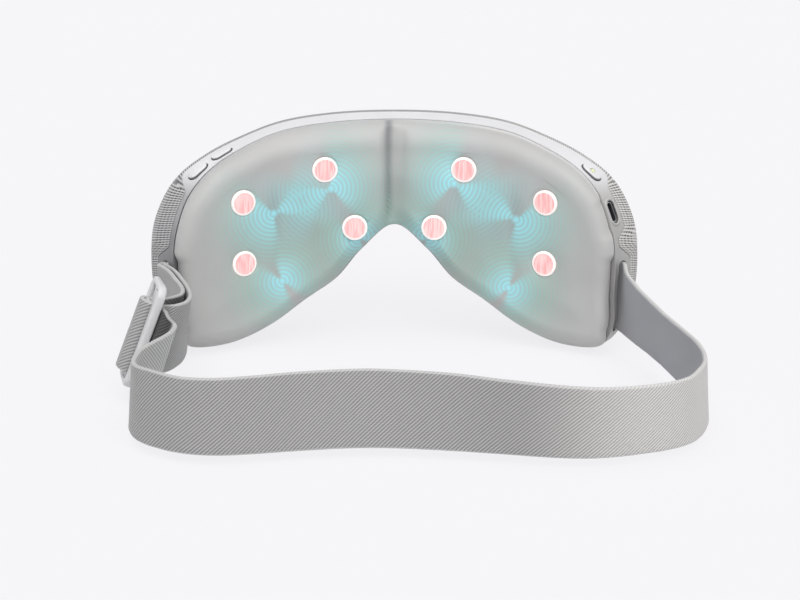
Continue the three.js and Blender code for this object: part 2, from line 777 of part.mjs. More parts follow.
function innerPlate() {
  const ringAt = (depth) => [stations.map((s) => face(s, plateInset, depth))];
  const plate = closeSheets(
    sheet(ringAt(plateBack), (x) => wrapY(x) + plateBack),
    sheet(ringAt(plateFront), (x) => wrapY(x) + plateFront),
  );
  const posts = postPlaces.map(([u, v]) => placed(
    disc(postRadius, -boardStand - plateThick, -gap, 8).translate(u, v, 0), boardFrame,
  ));
  const cradleReach = gap + cradleWall + shakerRadius;
  const cradles = shakerFrames.map(({ frame }) => placed(block(
    shakerLength - 2 * cradleWall, 2 * (shakerRadius + cradleWall), -cradleReach - plateThick / 2, 0,
  ), frame));
  const beds = shakerFrames.map(({ frame }) => placed(
    alongX(disc(shakerRadius + gap, -shakerLength, shakerLength)), frame,
  ));
  const screwHoles = screwFrames.map(({ frame }) => placed(
    disc(screwRadius + gap, 0, plateFront + cutOverrun, 8), frame,
  ));
  const boardHoles = postPlaces.slice(0, 2).map(([u, v]) => placed(
    disc(boardScrewShank + gap, -boardScrewReach - gap, cutOverrun, 8).translate(u, v, 0), boardFrame,
  ));
  const stemHoles = sides.map(({ sign }) => placed(
    disc(stemRadius + gap, 0, plateFront + cutOverrun, 8), wrapFrame(sign * stemX, crossZ, 0),
  ));
  const holes = [...beds, ...screwHoles, ...boardHoles, ...stemHoles];
  const boardRooms = buttonBoards.map(({ length, sink, frame }) => placed(block(
    length + 2 * gap, buttonBoardWidth + 2 * gap, boardTop - boardThick - sink - gap, boardTop - sink + gap,
  ), frame));
  const rooms = [portSpace, ...boardRooms, ...loopSpace(slotHalf + pinOverhang + gap)];
  return carve(join(plate, ...posts, ...cradles), [...holes, ...rooms]);
}

add('front_shell', frontShell(), looks.inner);
add('front_fabric', closeSheets(insetSheet(0), insetSheet(clothThick)), looks.knit);
add('mid_frame', midFrame(), looks.plastic);
add('inner_plate', innerPlate(), looks.inner);
add('cushion', cushion(), looks.cushion);

for (const { name, frame } of contactFrames) {
  add(name, disc(contactDiameter / 2, 0, contactThick), looks.contact, frame);
}

const screwShape = join(
  disc(screwHeadRadius, 0, screwHeadThick, 12), disc(screwRadius, 0, screwLength - 2 * gap, 8),
);
for (const { name, frame } of screwFrames) add(name, screwShape, looks.steel, frame);

// Air bag with its stem, and heating film, of each side
const bagFar = plateBack - 2 * gap;
const bagNear = bagFar - bagThick;
for (const { name, sign } of sides) {
  const [left, right] = sign > 0 ? [bagLeft, bagRight] : [-bagRight, -bagLeft];
  const stemShape = disc(stemRadius, -bagThick / 2, stemLength + plateBack, 8);
  const stem = placed(stemShape, wrapFrame(sign * stemX, crossZ, 0));
  const bag = join(bentBlock(left, right, bagLow, bagHigh, bagNear, bagFar, 6), stem);
  add(`air_bag_${name}`, bag, looks.bag);
  const film = bentBlock(left, right, bagLow, bagHigh, bagNear - gap - filmThick, bagNear - gap, 6);
  add(`heating_film_${name}`, film, looks.film);
}

// Strap pins behind the slots
for (const { name } of sides) {
  const pin = alongX(disc(pinRadius, -slotHalf - pinOverhang + gap, slotHalf + pinOverhang - gap));
  add(`strap_pin_${name}`, pin.translate(0, pinBack, -pinSink), looks.steel, slotFrames[name]);
}

// Buttons, each over its switch, and the boards behind them
for (const { name, frame } of buttons) {
  const cap = pill(buttonLength, buttonWidth, -buttonBack, buttonProud);
  const wider = 2 * buttonFlange;
  const flange = pill(buttonLength + wider, buttonWidth + wider, buttonLow, -buttonBack);
  const solid = join(cap, flange);
  const pipeHole = disc(pipeRadius + gap, buttonLow - cutOverrun, buttonProud + cutOverrun, 12);
  add(`${name}_button`, name === 'power' ? carve(solid, [pipeHole]) : solid, looks.plastic, frame);
  if (name === 'power') add('light_pipe', disc(pipeRadius, buttonLow, buttonProud, 12), looks.light, frame);
  const tact = join(
    block(switchSize, switchSize, switchTop - nubHeight - switchHeight, switchTop - nubHeight),
    disc(nubRadius, switchTop - nubHeight - gap, switchTop, 8),
  );
  add(`${name}_switch`, tact, looks.dark, frame);
}
for (const { name, length, sink, frame } of buttonBoards) {
  add(name, block(length, buttonBoardWidth, boardTop - boardThick - sink, boardTop - sink), looks.board, frame);
}

// Charging port: a cup with its tongue
const portShell = carve(
  pill(portLength, portWidth, -portRecess - portBody, -portRecess),
  [pill(portLength - 2 * portWall, portWidth - 2 * portWall, -portRecess - portBody + portWall, cutOverrun)],
);
add('charge_port_shell', portShell, looks.steel, portFrame);
const tongueEnd = -portRecess - portBody + portWall + gap;
add('charge_port_tongue', block(tongueLength, tongueThick, tongueEnd, tongueEnd + tongueReach), looks.dark, portFrame);

// Main board on its posts, and the battery
const boardShape = carve(
  block(boardLength, boardHeight, 0, boardThick),
  postPlaces.slice(0, 2).map(([u, v]) => disc(boardScrewShank + gap, -cutOverrun, cutOverrun, 8).translate(u, v, 0)),
);
add('main_board', boardShape, looks.board, boardFrame);
postPlaces.slice(0, 2).forEach(([u, v], i) => {
  const screw = join(
    disc(boardScrewHead, boardThick + gap, boardThick + gap + boardScrewThick, 12),
    disc(boardScrewShank, -boardScrewReach, boardThick + gap, 8),
  );
  add(`board_screw_${i + 1}`, screw.translate(u, v, 0), looks.steel, boardFrame);
});
add(
  'battery', block(batteryLength, batteryHeight, 0, batteryThick), looks.battery,
  placeFrame(batteryPlaceShares, plateFront + gap),
);

// Vibration motors with their eccentric weights
for (const { name, sign, frame } of shakerFrames) {
  const half = shakerLength / 2;
  const body = carve(alongX(disc(shakerRadius, -half, half)), [
    alongX(disc(shakerShaft + gap, half - cutOverrun, half + cutOverrun, 8)),
  ]);
  add(`vibration_motor_${name}`, body, looks.steel, frame);
  const sector = new THREE.Shape();
  sector.absarc(0, 0, weightRadius, Math.PI, Math.PI * 2, false);
  const heavy = alongX(new THREE.ExtrudeGeometry(sector, { depth: weightLength, bevelEnabled: false, curveSegments: 8 }));
  const weight = join(
    heavy.translate(half + gap, 0, 0),
    alongX(disc(shakerShaft, half - cutOverrun + gap, half - cutOverrun + gap + shakerShaftReach, 8)),
  );
  add(`vibration_weight_${name}`, weight, looks.copper, frame);
}

// Air pump: motor, body with the crank, and the head with its nozzle
const pumpFrame = new THREE.Matrix4().setPosition(0, wrapY(0) + plateFront + gap + pumpBodySize / 2, pumpZ);
const pumpMotorRight = pumpMotorLeft + pumpMotorLength;
const pumpBodyLeft = pumpMotorRight + gap;
const pumpBodyRight = pumpBodyLeft + pumpBodyLength;
const pumpMotor = carve(alongX(disc(pumpMotorRadius, pumpMotorLeft, pumpMotorRight)), [
  alongX(disc(pumpShaft + gap, pumpMotorRight - cutOverrun, pumpMotorRight + cutOverrun, 8)),
]);
add('pump_motor', pumpMotor, looks.steel, pumpFrame);
const cavity = pumpBodySize / 2 - pumpWall;
const pumpBody = carve(
  new THREE.BoxGeometry(pumpBodyLength, pumpBodySize, pumpBodySize).translate((pumpBodyLeft + pumpBodyRight) / 2, 0, 0),
  [
    alongX(disc(cavity, pumpBodyLeft + pumpWall, pumpBodyRight + cutOverrun)),
    alongX(disc(pumpShaft + gap, pumpBodyLeft - cutOverrun, pumpBodyLeft + 2 * cutOverrun, 8)),
  ],
);
add('pump_body', pumpBody, looks.inner, pumpFrame);
const crankLeft = pumpBodyLeft + pumpWall + gap;
const crank = join(
  alongX(disc(pumpShaft, pumpMotorRight - cutOverrun + gap, crankLeft + crankThick / 2, 8)),
  alongX(disc(crankRadius, crankLeft, crankLeft + crankThick)),
  alongX(disc(crankPinRadius, crankLeft, crankLeft + crankThick + crankPinLength, 8)).translate(0, 0, crankPinOff),
);
add('pump_crank', crank, looks.steel, pumpFrame);
const headLeft = pumpBodyRight + gap;
const headRight = headLeft + pumpHeadLength;
const pumpHead = join(
  new THREE.BoxGeometry(pumpHeadLength, pumpBodySize, pumpBodySize).translate((headLeft + headRight) / 2, 0, 0),
  alongX(disc(nozzleRadius, headRight - gap, headRight + nozzleLength, 8)).translate(0, 0, -pumpBodySize / 4),
);
add('pump_head', pumpHead, looks.dark, pumpFrame);

// Release valve: body with a bore, plunger with a head, and its spring
const valveFrame = new THREE.Matrix4().makeRotationZ(Math.PI)
  .setPosition(0, wrapY(0) + plateFront + gap + valveSize / 2, valveZ);
const valveRight = valveLeft + valveLength;
const valveFloor = valveRight - valveBoreDepth;
const valveBlock = join(
  new THREE.BoxGeometry(valveLength, valveSize, valveSize).translate((valveLeft + valveRight) / 2, 0, 0),
  alongX(disc(nozzleRadius, valveLeft - nozzleLength, valveLeft + gap, 8)),
);
const valveBody = carve(valveBlock, [alongX(disc(valveBore, valveFloor, valveRight + cutOverrun, 12))]);
add('valve_body', valveBody, looks.dark, valveFrame);
const plungerTip = valveFloor + gap + plungerTravel;
const headStart = plungerTip + plungerLength - plungerHeadThick;
const plunger = join(
  alongX(disc(plungerRadius, plungerTip, headStart + gap, 12)),
  alongX(disc(plungerHead, headStart, headStart + plungerHeadThick, 12)),
);
add('valve_plunger', plunger, looks.steel, valveFrame);
const springRadius = plungerRadius + gap + springWire;
const springLow = valveRight + gap + plungerTravel + springWire;
const springHigh = headStart - gap - springWire;
const springSteps = springCorners * springTurns;
const springPath = [];
for (let i = 0; i <= springSteps; i += 1) {
  const turn = (i / springCorners) * Math.PI * 2;
  springPath.push(vec(
    mix(springLow, springHigh, i / springSteps), springRadius * Math.cos(turn), springRadius * Math.sin(turn),
  ));
}
add('valve_spring', tube(springPath, springWire, springSides, springSteps), looks.steel, valveFrame);

// Air cross with four ports, and the tubes from it to the pump, the valve and the bags
const lane = plateFront + gap + crossRadius;
const at = (x, z, depth) => vec(0, 0, 0).applyMatrix4(wrapFrame(x, z, depth));
const cross = join(
  alongX(disc(crossRadius, -crossReach, crossReach, 12)),
  disc(crossRadius, 0, crossRise, 12),
  disc(crossRadius, 0, crossReach, 12).rotateX(Math.PI / 2),
);
add('air_cross', cross, looks.inner, wrapFrame(crossX, crossZ, lane));
const airTube = (name, points, steps) => add(name, tube(points, tubeRadius, 4, steps), looks.rubber);
const endReach = crossReach + gap;
const bend = 2 * tubeRadius;
const pumpTip = vec(headRight + nozzleLength + gap, 0, -pumpBodySize / 4).applyMatrix4(pumpFrame);
const pumpEnd = at(crossX, crossZ, lane + crossRise + gap);
airTube('pump_tube', [
  pumpTip, vec(crossX, pumpTip.y, pumpTip.z), vec(pumpEnd.x + gap, pumpEnd.y + bend, mix(pumpEnd.z, pumpTip.z, 1 / 2)),
  vec(pumpEnd.x, pumpEnd.y + bend / 2, pumpEnd.z), pumpEnd,
], 8);
const valveTip = vec(valveLeft - nozzleLength - gap, 0, 0).applyMatrix4(valveFrame);
const valveEnd = at(crossX, crossZ - endReach, lane);
airTube('valve_tube', [
  valveTip, vec(mix(valveTip.x, valveEnd.x, 1 / 2), valveTip.y, valveTip.z - bend / 2),
  vec(valveEnd.x, valveEnd.y, valveEnd.z - bend), valveEnd,
], 8);
const stemSide = stemX - stemRadius - gap;
airTube('right_air_tube', [at(crossX + endReach, crossZ, lane), at(stemSide, crossZ, lane)], 1);
airTube('left_air_tube', [
  crossX - endReach, crossX / 3, 0, -crossX / 3, -crossX, -stemSide,
].map((x) => at(x, crossZ, lane)), 8);

// Ribbon cable along the top of the plate
const [ribbonLeft, ribbonRight] = ribbonEndShares.map((share) => share * visorHalfWidth);
add('ribbon_cable', bentBlock(
  ribbonLeft, ribbonRight, ribbonZ - ribbonWidth / 2, ribbonZ + ribbonWidth / 2,
  plateFront + gap, plateFront + gap + ribbonThick, 8,
), looks.dark);

// Strap rows from slot to slider and round the head: upper edge and lean as shares
const sewnShares = [
  [-0.778, -0.194, 1.233, -0.12, -0.093], [-0.717, -0.315, 1.22, 0, -0.05],
  [-0.685, -0.4, 1.2, 0.133, -0.017], [-0.677, -0.447, 1.193, 0.217, 0.01],
  [-0.688, -0.494, 1.187, 0.283, 0.04], [-0.717, -0.518, 1.187, 0.333, 0.067],
];
const mainShares = [
  [-0.799, -0.194, 1.233, -0.113, -0.087], [-0.743, -0.3, 1.22, 0.017, -0.04],
  [-0.708, -0.388, 1.207, 0.167, 0], [-0.71, -0.429, 1.2, 0.267, 0.033],
  [-0.735, -0.456, 1.2, 0.333, 0.067],
];
const bandShares = [
  [-0.728, -0.585, 1.12, 0.347, 0.08], [-0.705, -0.612, 1.067, 0.333, 0.067],
  [-0.71, -0.644, 1.043, 0.3, 0.033], [-0.73, -0.682, 1.03, 0.253, -0.017],
  [-0.762, -0.727, 1.02, 0.193, -0.08], [-0.79, -0.771, 1.007, 0.14, -0.133],
  [-0.803, -0.818, 0.993, 0.1, -0.167], [-0.802, -0.861, 0.98, 0.073, -0.187],
  [-0.783, -0.897, 0.99, 0.047, -0.107], [-0.741, -0.929, 1, 0.03, -0.037],
  [-0.642, -0.984, 0.997, 0.03, -0.077], [-0.536, -0.996, 1, 0.013, -0.047],
  [-0.432, -0.98, 1, 0.013, -0.007], [-0.283, -0.946, 0.997, 0.007, 0.053],
  [-0.074, -0.924, 0.997, 0, 0.073], [0.171, -0.958, 1, -0.007, -0.013],
  [0.32, -0.999, 0.993, -0.017, -0.127], [0.523, -1.041, 0.977, -0.033, -0.21],
  [0.627, -1.046, 0.967, -0.043, -0.253], [0.737, -1.028, 0.957, -0.053, -0.293],
  [0.831, -0.997, 0.95, -0.063, -0.303], [0.898, -0.955, 0.95, -0.067, -0.297],
  [0.938, -0.899, 0.963, -0.063, -0.253], [0.964, -0.841, 0.963, -0.067, -0.26],
  [0.972, -0.771, 0.97, -0.1, -0.227], [0.962, -0.688, 0.977, -0.15, -0.167],
  [0.933, -0.6, 0.993, -0.2, -0.12], [0.891, -0.484, 1.017, -0.235, -0.1],
  [0.86, -0.388, 1.053, -0.217, -0.133], [0.831, -0.308, 1.097, -0.19, -0.125],
  [0.807, -0.2, 1.163, -0.067, -0.108],
];
const worldRow = ([x, y, z, leanX, leanY]) => {
  const up = vec(leanX, leanY, Math.sqrt(1 - leanX ** 2 - leanY ** 2));
  const top = vec(x * loopSpread, y * loopReach, z * strapWidth);
  return { centre: top.addScaledVector(up, -strapWidth / 2), up };
};

// Strap rows in a slot: across the slot towards the front, and outwards, in strap thicknesses
const loopAngles = [-35, 10, 55, 100, 145, 190].map((degrees) => THREE.MathUtils.degToRad(degrees));
const slotRow = ({ name, sign }, back, out) => ({
  centre: vec(0, back * strapThick, out * strapThick).applyMatrix4(slotFrames[name]),
  up: vec(0, 0, 0).setFromMatrixColumn(slotFrames[name], 0).multiplyScalar(-sign),
});
const pinLoop = (side) => loopAngles.map((angle) => slotRow(
  side, (pinBack + loopRadius * Math.cos(angle)) / strapThick, -(pinSink + loopRadius * Math.sin(angle)) / strapThick,
));
const [rightSide, leftSide] = sides;
const mainMouthShares = [[0.35, 1.6], [0.6, 0.25], [0.64, -1.4]];
const sewnMouthShares = [[-0.58, 0.75], [-0.62, -0.3], [-0.64, -1.4]];
const rightMouthShares = [[-0.3, 0.95], [0.35, 0], [0.6, -1.4]];
const mouth = (side, shares) => shares.map(([back, out]) => slotRow(side, back, out));

// Slider frame: X from the near bar to the far bar, Y along the bars, Z to the inner side
const sliderPlace = vec(...sliderPlaceShares).multiply(vec(loopSpread, loopReach, strapWidth));
const sliderUp = vec(...sliderUpShares).normalize();
const sliderAway = vec(...sliderAwayShares);
sliderAway.addScaledVector(sliderUp, -sliderAway.dot(sliderUp)).normalize();
const sliderFrame = new THREE.Matrix4()
  .makeBasis(sliderAway, sliderUp, vec(0, 0, 0).crossVectors(sliderAway, sliderUp))
  .setPosition(sliderPlace);

// Strap rows in the slider: from the near bar to the far bar, and to the inner side
const sewnWrapShares = [
  [4.05, 1.7], [4.06, 0.3], [4.06, -0.5], [4.45, -1.2], [5.55, -1.4], [6.65, -1.2], [7.05, -0.5], [7, 0.3], [6.7, 1.4],
];
const mainWrapShares = [
  [8.8, 1.6], [8.25, 0.2], [8.1, -1.3], [7, -2.4], [5.55, -2.65], [4.1, -2.4],
  [3, -1.3], [2.9, 0], [2.45, 0.8], [1.45, 1.35], [0, 1.45], [-1.5, 1.65],
];
const sliderRow = ([away, inner]) => ({
  centre: vec(away * strapThick, -strapOffCentre, inner * strapThick).applyMatrix4(sliderFrame),
  up: sliderUp.clone(),
});

const strapRows = [
  ...sewnWrapShares.map(sliderRow).reverse(),
  ...sewnShares.map(worldRow).reverse(),
  ...mouth(leftSide, sewnMouthShares),
  ...pinLoop(leftSide).reverse(),
  ...mouth(leftSide, mainMouthShares).reverse(),
  ...mainShares.map(worldRow),
  ...mainWrapShares.map(sliderRow),
  ...bandShares.map(worldRow),
  ...mouth(rightSide, rightMouthShares),
  ...pinLoop(rightSide),
  slotRow(rightSide, ...sewnMouthShares[2]),
];
const strapPath = new THREE.CatmullRomCurve3(strapRows.map((row) => row.centre));
const strapSteps = 2 * (strapRows.length - 1);
const strapSections = [];
for (let i = 0; i <= strapSteps; i += 1) {
  const share = i / strapSteps;
  const row = Math.min(Math.floor(i / 2), strapRows.length - 2);
  const up = strapRows[row].up.clone().lerp(strapRows[row + 1].up, i / 2 - row).normalize();
  const across = vec(0, 0, 0).crossVectors(up, strapPath.getTangent(share)).normalize();
  const centre = strapPath.getPoint(share);
  const corner = (u, v) => centre.clone()
    .addScaledVector(up, (u * strapWidth) / 2).addScaledVector(across, (v * strapThick) / 2);
  strapSections.push([corner(-1, -1), corner(1, -1), corner(1, 1), corner(-1, 1)]);
}
add('strap', loft(strapSections, false), looks.strap);

// Slider: a rounded plate with two windows
function sliderShape() {
  const low = -barNear / 2;
  const high = barNear / 2 + 2 * sliderWindow + barMiddle + barFar;
  const half = sliderLength / 2;
  const shape = new THREE.Shape();
  shape.moveTo(low, -half + sliderRound);
  shape.quadraticCurveTo(low, -half, low + sliderRound, -half);
  shape.lineTo(high - sliderRound, -half);
  shape.quadraticCurveTo(high, -half, high, -half + sliderRound);
  shape.lineTo(high, half - sliderRound);
  shape.quadraticCurveTo(high, half, high - sliderRound, half);
  shape.lineTo(low + sliderRound, half);
  shape.quadraticCurveTo(low, half, low, half - sliderRound);
  const bevel = sliderThick / 4;
  const plate = new THREE.ExtrudeGeometry(shape, {
    depth: sliderThick - 2 * bevel, bevelThickness: bevel, bevelSize: bevel, bevelOffset: -bevel,
    bevelSegments: 1, curveSegments: 4,
  }).translate(0, 0, bevel - sliderThick / 2);
  const window = new THREE.BoxGeometry(sliderWindow, sliderLength - 2 * windowEnd, 2 * sliderThick);
  const windows = [barNear / 2, barNear / 2 + sliderWindow + barMiddle]
    .map((start) => window.clone().translate(start + sliderWindow / 2, 0, 0));
  return carve(plate, windows);
}
add('slider', sliderShape(), looks.slider, sliderFrame);

// Origin: centre of the object's box, at its lowest point
const root = new THREE.Group();
root.add(goggles);
root.updateMatrixWorld(true);
const extent = new THREE.Box3().setFromObject(root);
goggles.position.set(-(extent.min.x + extent.max.x) / 2, -(extent.min.y + extent.max.y) / 2, -extent.min.z);
root.updateMatrixWorld(true);
export default root;
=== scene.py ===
import json
import math

import bmesh
import bpy
import numpy as np
from mathutils import Matrix, Vector
from mathutils.geometry import delaunay_2d_cdt


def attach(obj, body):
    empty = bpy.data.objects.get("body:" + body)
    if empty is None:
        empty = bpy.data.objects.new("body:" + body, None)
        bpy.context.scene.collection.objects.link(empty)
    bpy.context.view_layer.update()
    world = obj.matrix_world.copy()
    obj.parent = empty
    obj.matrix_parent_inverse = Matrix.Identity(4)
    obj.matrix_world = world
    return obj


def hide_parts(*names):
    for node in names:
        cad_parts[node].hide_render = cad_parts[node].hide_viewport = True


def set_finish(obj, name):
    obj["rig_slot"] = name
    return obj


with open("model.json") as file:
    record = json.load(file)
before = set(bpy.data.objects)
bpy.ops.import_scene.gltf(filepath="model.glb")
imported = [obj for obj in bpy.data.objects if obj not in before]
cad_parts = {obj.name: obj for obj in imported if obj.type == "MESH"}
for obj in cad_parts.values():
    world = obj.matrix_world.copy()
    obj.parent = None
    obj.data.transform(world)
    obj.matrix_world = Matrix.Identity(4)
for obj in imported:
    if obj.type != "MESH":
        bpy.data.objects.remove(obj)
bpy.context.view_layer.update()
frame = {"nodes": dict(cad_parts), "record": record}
print("frame loaded")

# Sizes are in millimetres from the visor's own middle, and this is how far that lies from the frame's
visorShift = np.array([-4.93235, 71.85101, 3.88973])


def toFrame(points):
    # adds the shift and turns millimetres into metres
    return (np.asarray(points, float) + visorShift) / 1000.0


# Mesh and shader helpers

def gridFaces(rows, columns, closeRows=False, closeColumns=False):
    # quads between neighbours of a grid of rows x columns points
    r = np.arange(rows if closeRows else rows - 1)[:, None]
    c = np.arange(columns if closeColumns else columns - 1)[None, :]
    r2, c2 = (r + 1) % rows, (c + 1) % columns
    quads = np.stack([r * columns + c, r * columns + c2, r2 * columns + c2, r2 * columns + c], -1)
    return quads.reshape(-1, 4)


def makeMesh(name, points, faces, values=None, merge=0.0, sharp=None):
    # one object from points in millimetres; values are numbers kept on the points, sharp is in degrees
    mesh = bpy.data.meshes.new(name)
    mesh.from_pydata(toFrame(points).tolist(), [], [list(map(int, f)) for f in faces])
    for key, numbers in (values or {}).items():
        mesh.attributes.new(key, "FLOAT", "POINT").data.foreach_set("value", np.asarray(numbers, np.float32))
    work = bmesh.new()
    work.from_mesh(mesh)
    if merge:
        bmesh.ops.remove_doubles(work, verts=work.verts, dist=merge / 1000.0)
    bmesh.ops.recalc_face_normals(work, faces=work.faces)
    work.to_mesh(mesh)
    work.free()
    mesh.shade_smooth()
    if sharp:
        mesh.set_sharp_from_angle(angle=math.radians(sharp))
    made = bpy.data.objects.new(name, mesh)
    bpy.context.scene.collection.objects.link(made)
    return made


def applyModifiers(piece, sharp=None):
    # the evaluated mesh takes the place of the piece's own
    evaluated = piece.evaluated_get(bpy.context.evaluated_depsgraph_get())
    mesh = bpy.data.meshes.new_from_object(evaluated)
    piece.modifiers.clear()
    piece.data = mesh
    mesh.shade_smooth()
    if sharp:
        mesh.set_sharp_from_angle(angle=math.radians(sharp))
    return piece


def cutWith(piece, cutters, sharp=30):
    # takes the cutters away from the piece
    for cutter in cutters:
        step = piece.modifiers.new("cut", "BOOLEAN")
        step.operation, step.solver, step.object = "DIFFERENCE", "EXACT", cutter
    applyModifiers(piece, sharp)
    for cutter in cutters:
        bpy.data.objects.remove(cutter)
    return piece


def linear(red, green, blue):
    # a colour of 0 to 255 as the shader's linear values
    c = np.array([red, green, blue]) / 255.0
    c = np.where(c <= 0.04045, c / 12.92, ((c + 0.055) / 1.055) ** 2.4)
    return (float(c[0]), float(c[1]), float(c[2]), 1.0)


def node(tree, kind, inputs=None, **settings):
    # a shader node with its settings, and with values or links on its inputs
    made = tree.nodes.new("ShaderNode" + kind)
    for key, value in settings.items():
        setattr(made, key, value)
    for key, value in (inputs or {}).items():
        if isinstance(value, bpy.types.NodeSocket):
            tree.links.new(value, made.inputs[key])
        else:
            made.inputs[key].default_value = value
    return made


def maths(tree, operation, a, b=0.0, c=0.0, clamp=False):
    made = node(tree, "Math", {0: a, 1: b, 2: c}, operation=operation, use_clamp=clamp)
    return made.outputs[0]


def times(tree, a, b, clamp=False):
    return maths(tree, "MULTIPLY", a, b, clamp=clamp)


def plus(tree, a, b):
    return maths(tree, "ADD", a, b)


def minus(tree, a, b):
    return maths(tree, "SUBTRACT", a, b)


def sineWave(tree, value, pitch):
    # between -1 and 1, once in each pitch
    return maths(tree, "SINE", times(tree, value, 2 * math.pi / pitch))


def evenWave(tree, value, pitch):
    # the same wave between 0 and 1
    return maths(tree, "MULTIPLY_ADD", sineWave(tree, value, pitch), 0.5, 0.5)


def attribute(tree, name):
    # a number kept on the piece's points
    return node(tree, "Attribute", attribute_name=name).outputs["Fac"]


def objectAxes(tree):
    # the piece's own place in metres: to the right, to the front of the visor, and up
    return node(tree, "SeparateXYZ", {0: node(tree, "TexCoord").outputs["Object"]}).outputs


def mixValues(tree, factor, a, b):
    return node(tree, "Mix", {0: factor, 2: a, 3: b}).outputs[0]


def mixColours(tree, factor, a, b):
    # a where the factor is 0, b where it is 1
    return node(tree, "Mix", {0: factor, 6: a, 7: b}, data_type="RGBA").outputs[2]


def ramp(tree, value, low, high):
    # 0 below low, 1 above high, smooth between
    made = node(tree, "MapRange", {0: value, 1: low, 2: high}, interpolation_type="SMOOTHSTEP")
    return made.outputs[0]


def window(tree, value, low, lowEnd, high, highEnd):
    # rises from low to lowEnd and falls from high to highEnd
    return times(tree, ramp(tree, value, low, lowEnd), minus(tree, 1.0, ramp(tree, value, high, highEnd)))


def noise(tree, scale, detail=3.0, roughness=0.55, stretch=None):
    # noise on the piece's own place, in waves per metre
    place = node(tree, "TexCoord").outputs["Object"]
    if stretch:
        place = node(tree, "Mapping", {"Vector": place, "Scale": stretch}).outputs[0]
    made = node(tree, "TexNoise", {"Vector": place, "Scale": scale, "Detail": detail, "Roughness": roughness})
    return made.outputs["Fac"]


def dimmed(colour, share):
    # a share of a colour's light
    return tuple(c * share for c in linear(*colour)[:3]) + (1.0,)


def newMaterial(name, colour, roughness, metallic=0.0, specular=0.5, sheen=0.0):
    material = bpy.data.materials.new(name)
    material.use_nodes = True
    shader = material.node_tree.nodes["Principled BSDF"]
    shader.inputs["Base Color"].default_value = linear(*colour)
    shader.inputs["Roughness"].default_value = roughness
    shader.inputs["Metallic"].default_value = metallic
    shader.inputs["Specular IOR Level"].default_value = specular
    shader.inputs["Sheen Weight"].default_value = sheen
    return material, material.node_tree, shader


def bumpFrom(tree, shader, height, distance, strength=1.0):
    # fine relief; the distance is its depth in metres
    made = node(tree, "Bump", {"Height": height, "Distance": distance, "Strength": strength})
    tree.links.new(made.outputs[0], shader.inputs["Normal"])


def setInput(tree, shader, key, socket):
    # links a worked-out value to the shader
    tree.links.new(socket, shader.inputs[key])


# Camera at the photograph's place

cameraValues = {
    "target": (2.4, 0.0, 13.7),   # millimetres, from the visor's middle
    "distance": 1000.0,
    "elevation": 15.0,
    "lens": 103.95,
}


def makeCamera(values):
    # on the cushion's side, looking down a little on the middle of the goggles
    data = bpy.data.cameras.new("photo_camera")
    data.lens, data.sensor_width = values["lens"], 36.0
    camera = bpy.data.objects.new("photo_camera", data)
    rise = math.radians(values["elevation"])
    back = Vector((0.0, -math.cos(rise), math.sin(rise)))
    camera.location = Vector(toFrame(values["target"])) + back * (values["distance"] / 1000.0)
    camera.rotation_mode = "QUATERNION"
    camera.rotation_quaternion = (-back).to_track_quat("-Z", "Y")
    data.clip_start, data.clip_end = 0.05, 20.0
    bpy.context.scene.collection.objects.link(camera)
    bpy.context.scene.camera = camera


makeCamera(cameraValues)
bpy.context.scene.view_settings.view_transform = "Standard"
bpy.context.scene.render.resolution_x, bpy.context.scene.render.resolution_y = 800, 600
print("camera set")

# The visor's outline and the curved skin that every outer piece follows

visor = {
    "halfWidth": 93.0, "height": 92.4, "wrapRadius": 151.0, "rimY": 6.0, "flare": 10.6, "flareCurve": 1.5,
    "sideDepth": 16.0, "frontRadius": 158.0, "frontY": 35.0, "frontRoll": 16.0, "step": 0.02,
}
visor["spineReach"] = 0.613 * visor["halfWidth"]
visor["spineTop"] = 0.758 * visor["height"]
visor["spineDrop"] = 0.303 * visor["height"]

# half outline from the top centre to the nose: x, height and flare as shares
outlineShares = np.array([
    [0, 1, 0.06], [0.28, 0.99, 0.08], [0.52, 0.958, 0.11], [0.71, 0.885, 0.21],
    [0.844, 0.801, 0.4], [0.935, 0.687, 0.75], [0.984, 0.541, 0.97], [0.999, 0.4, 1],
    [0.996, 0.238, 0.95], [0.994, 0.1, 0.63], [0.934, -0.008, 0.27], [0.758, -0.023, 0.05],
    [0.581, 0.037, 0], [0.414, 0.149, 0], [0.269, 0.247, 0], [0.151, 0.383, 0], [0, 0.498, 0],
])
halfOutline = outlineShares * [visor["halfWidth"], visor["height"], visor["flare"]]
fullOutline = np.concatenate([halfOutline, halfOutline[-2:0:-1] * [-1, 1, 1]])
spans = len(fullOutline)
halfSpans = spans // 2


def smooth(value, low, high):
    # 0 below low, 1 above high, and three squares less two cubes between
    t = np.clip((value - low) / (high - low), 0, 1)
    return t * t * (3 - 2 * t)


def sideStation(station):
    # stations counted from the top centre, alike on both sides
    turn = np.mod(station, spans)
    return np.minimum(turn, spans - turn)


def outlineAt(station):
    # closed Catmull-Rom curve through the mirrored half outline: x, z and flare
    turn = np.mod(station, spans)
    start = np.floor(turn).astype(int)
    f = (turn - start)[..., None]
    a, b, c, d = (fullOutline[(start + k) % spans] for k in (-1, 0, 1, 2))
    rise, fall = (c - a) / 2, (d - b) / 2
    return b + rise * f + (3 * (c - b) - 2 * rise - fall) * f ** 2 + (2 * (b - c) + rise + fall) * f ** 3


def wrapY(x):
    # the face's wrap: a circle seen from above
    return visor["rimY"] - visor["wrapRadius"] + np.sqrt(visor["wrapRadius"] ** 2 - x ** 2)


def frontFaceY(x):
    # the front face: a wider circle seen from above
    return visor["frontY"] - visor["frontRadius"] + np.sqrt(visor["frontRadius"] ** 2 - x ** 2)


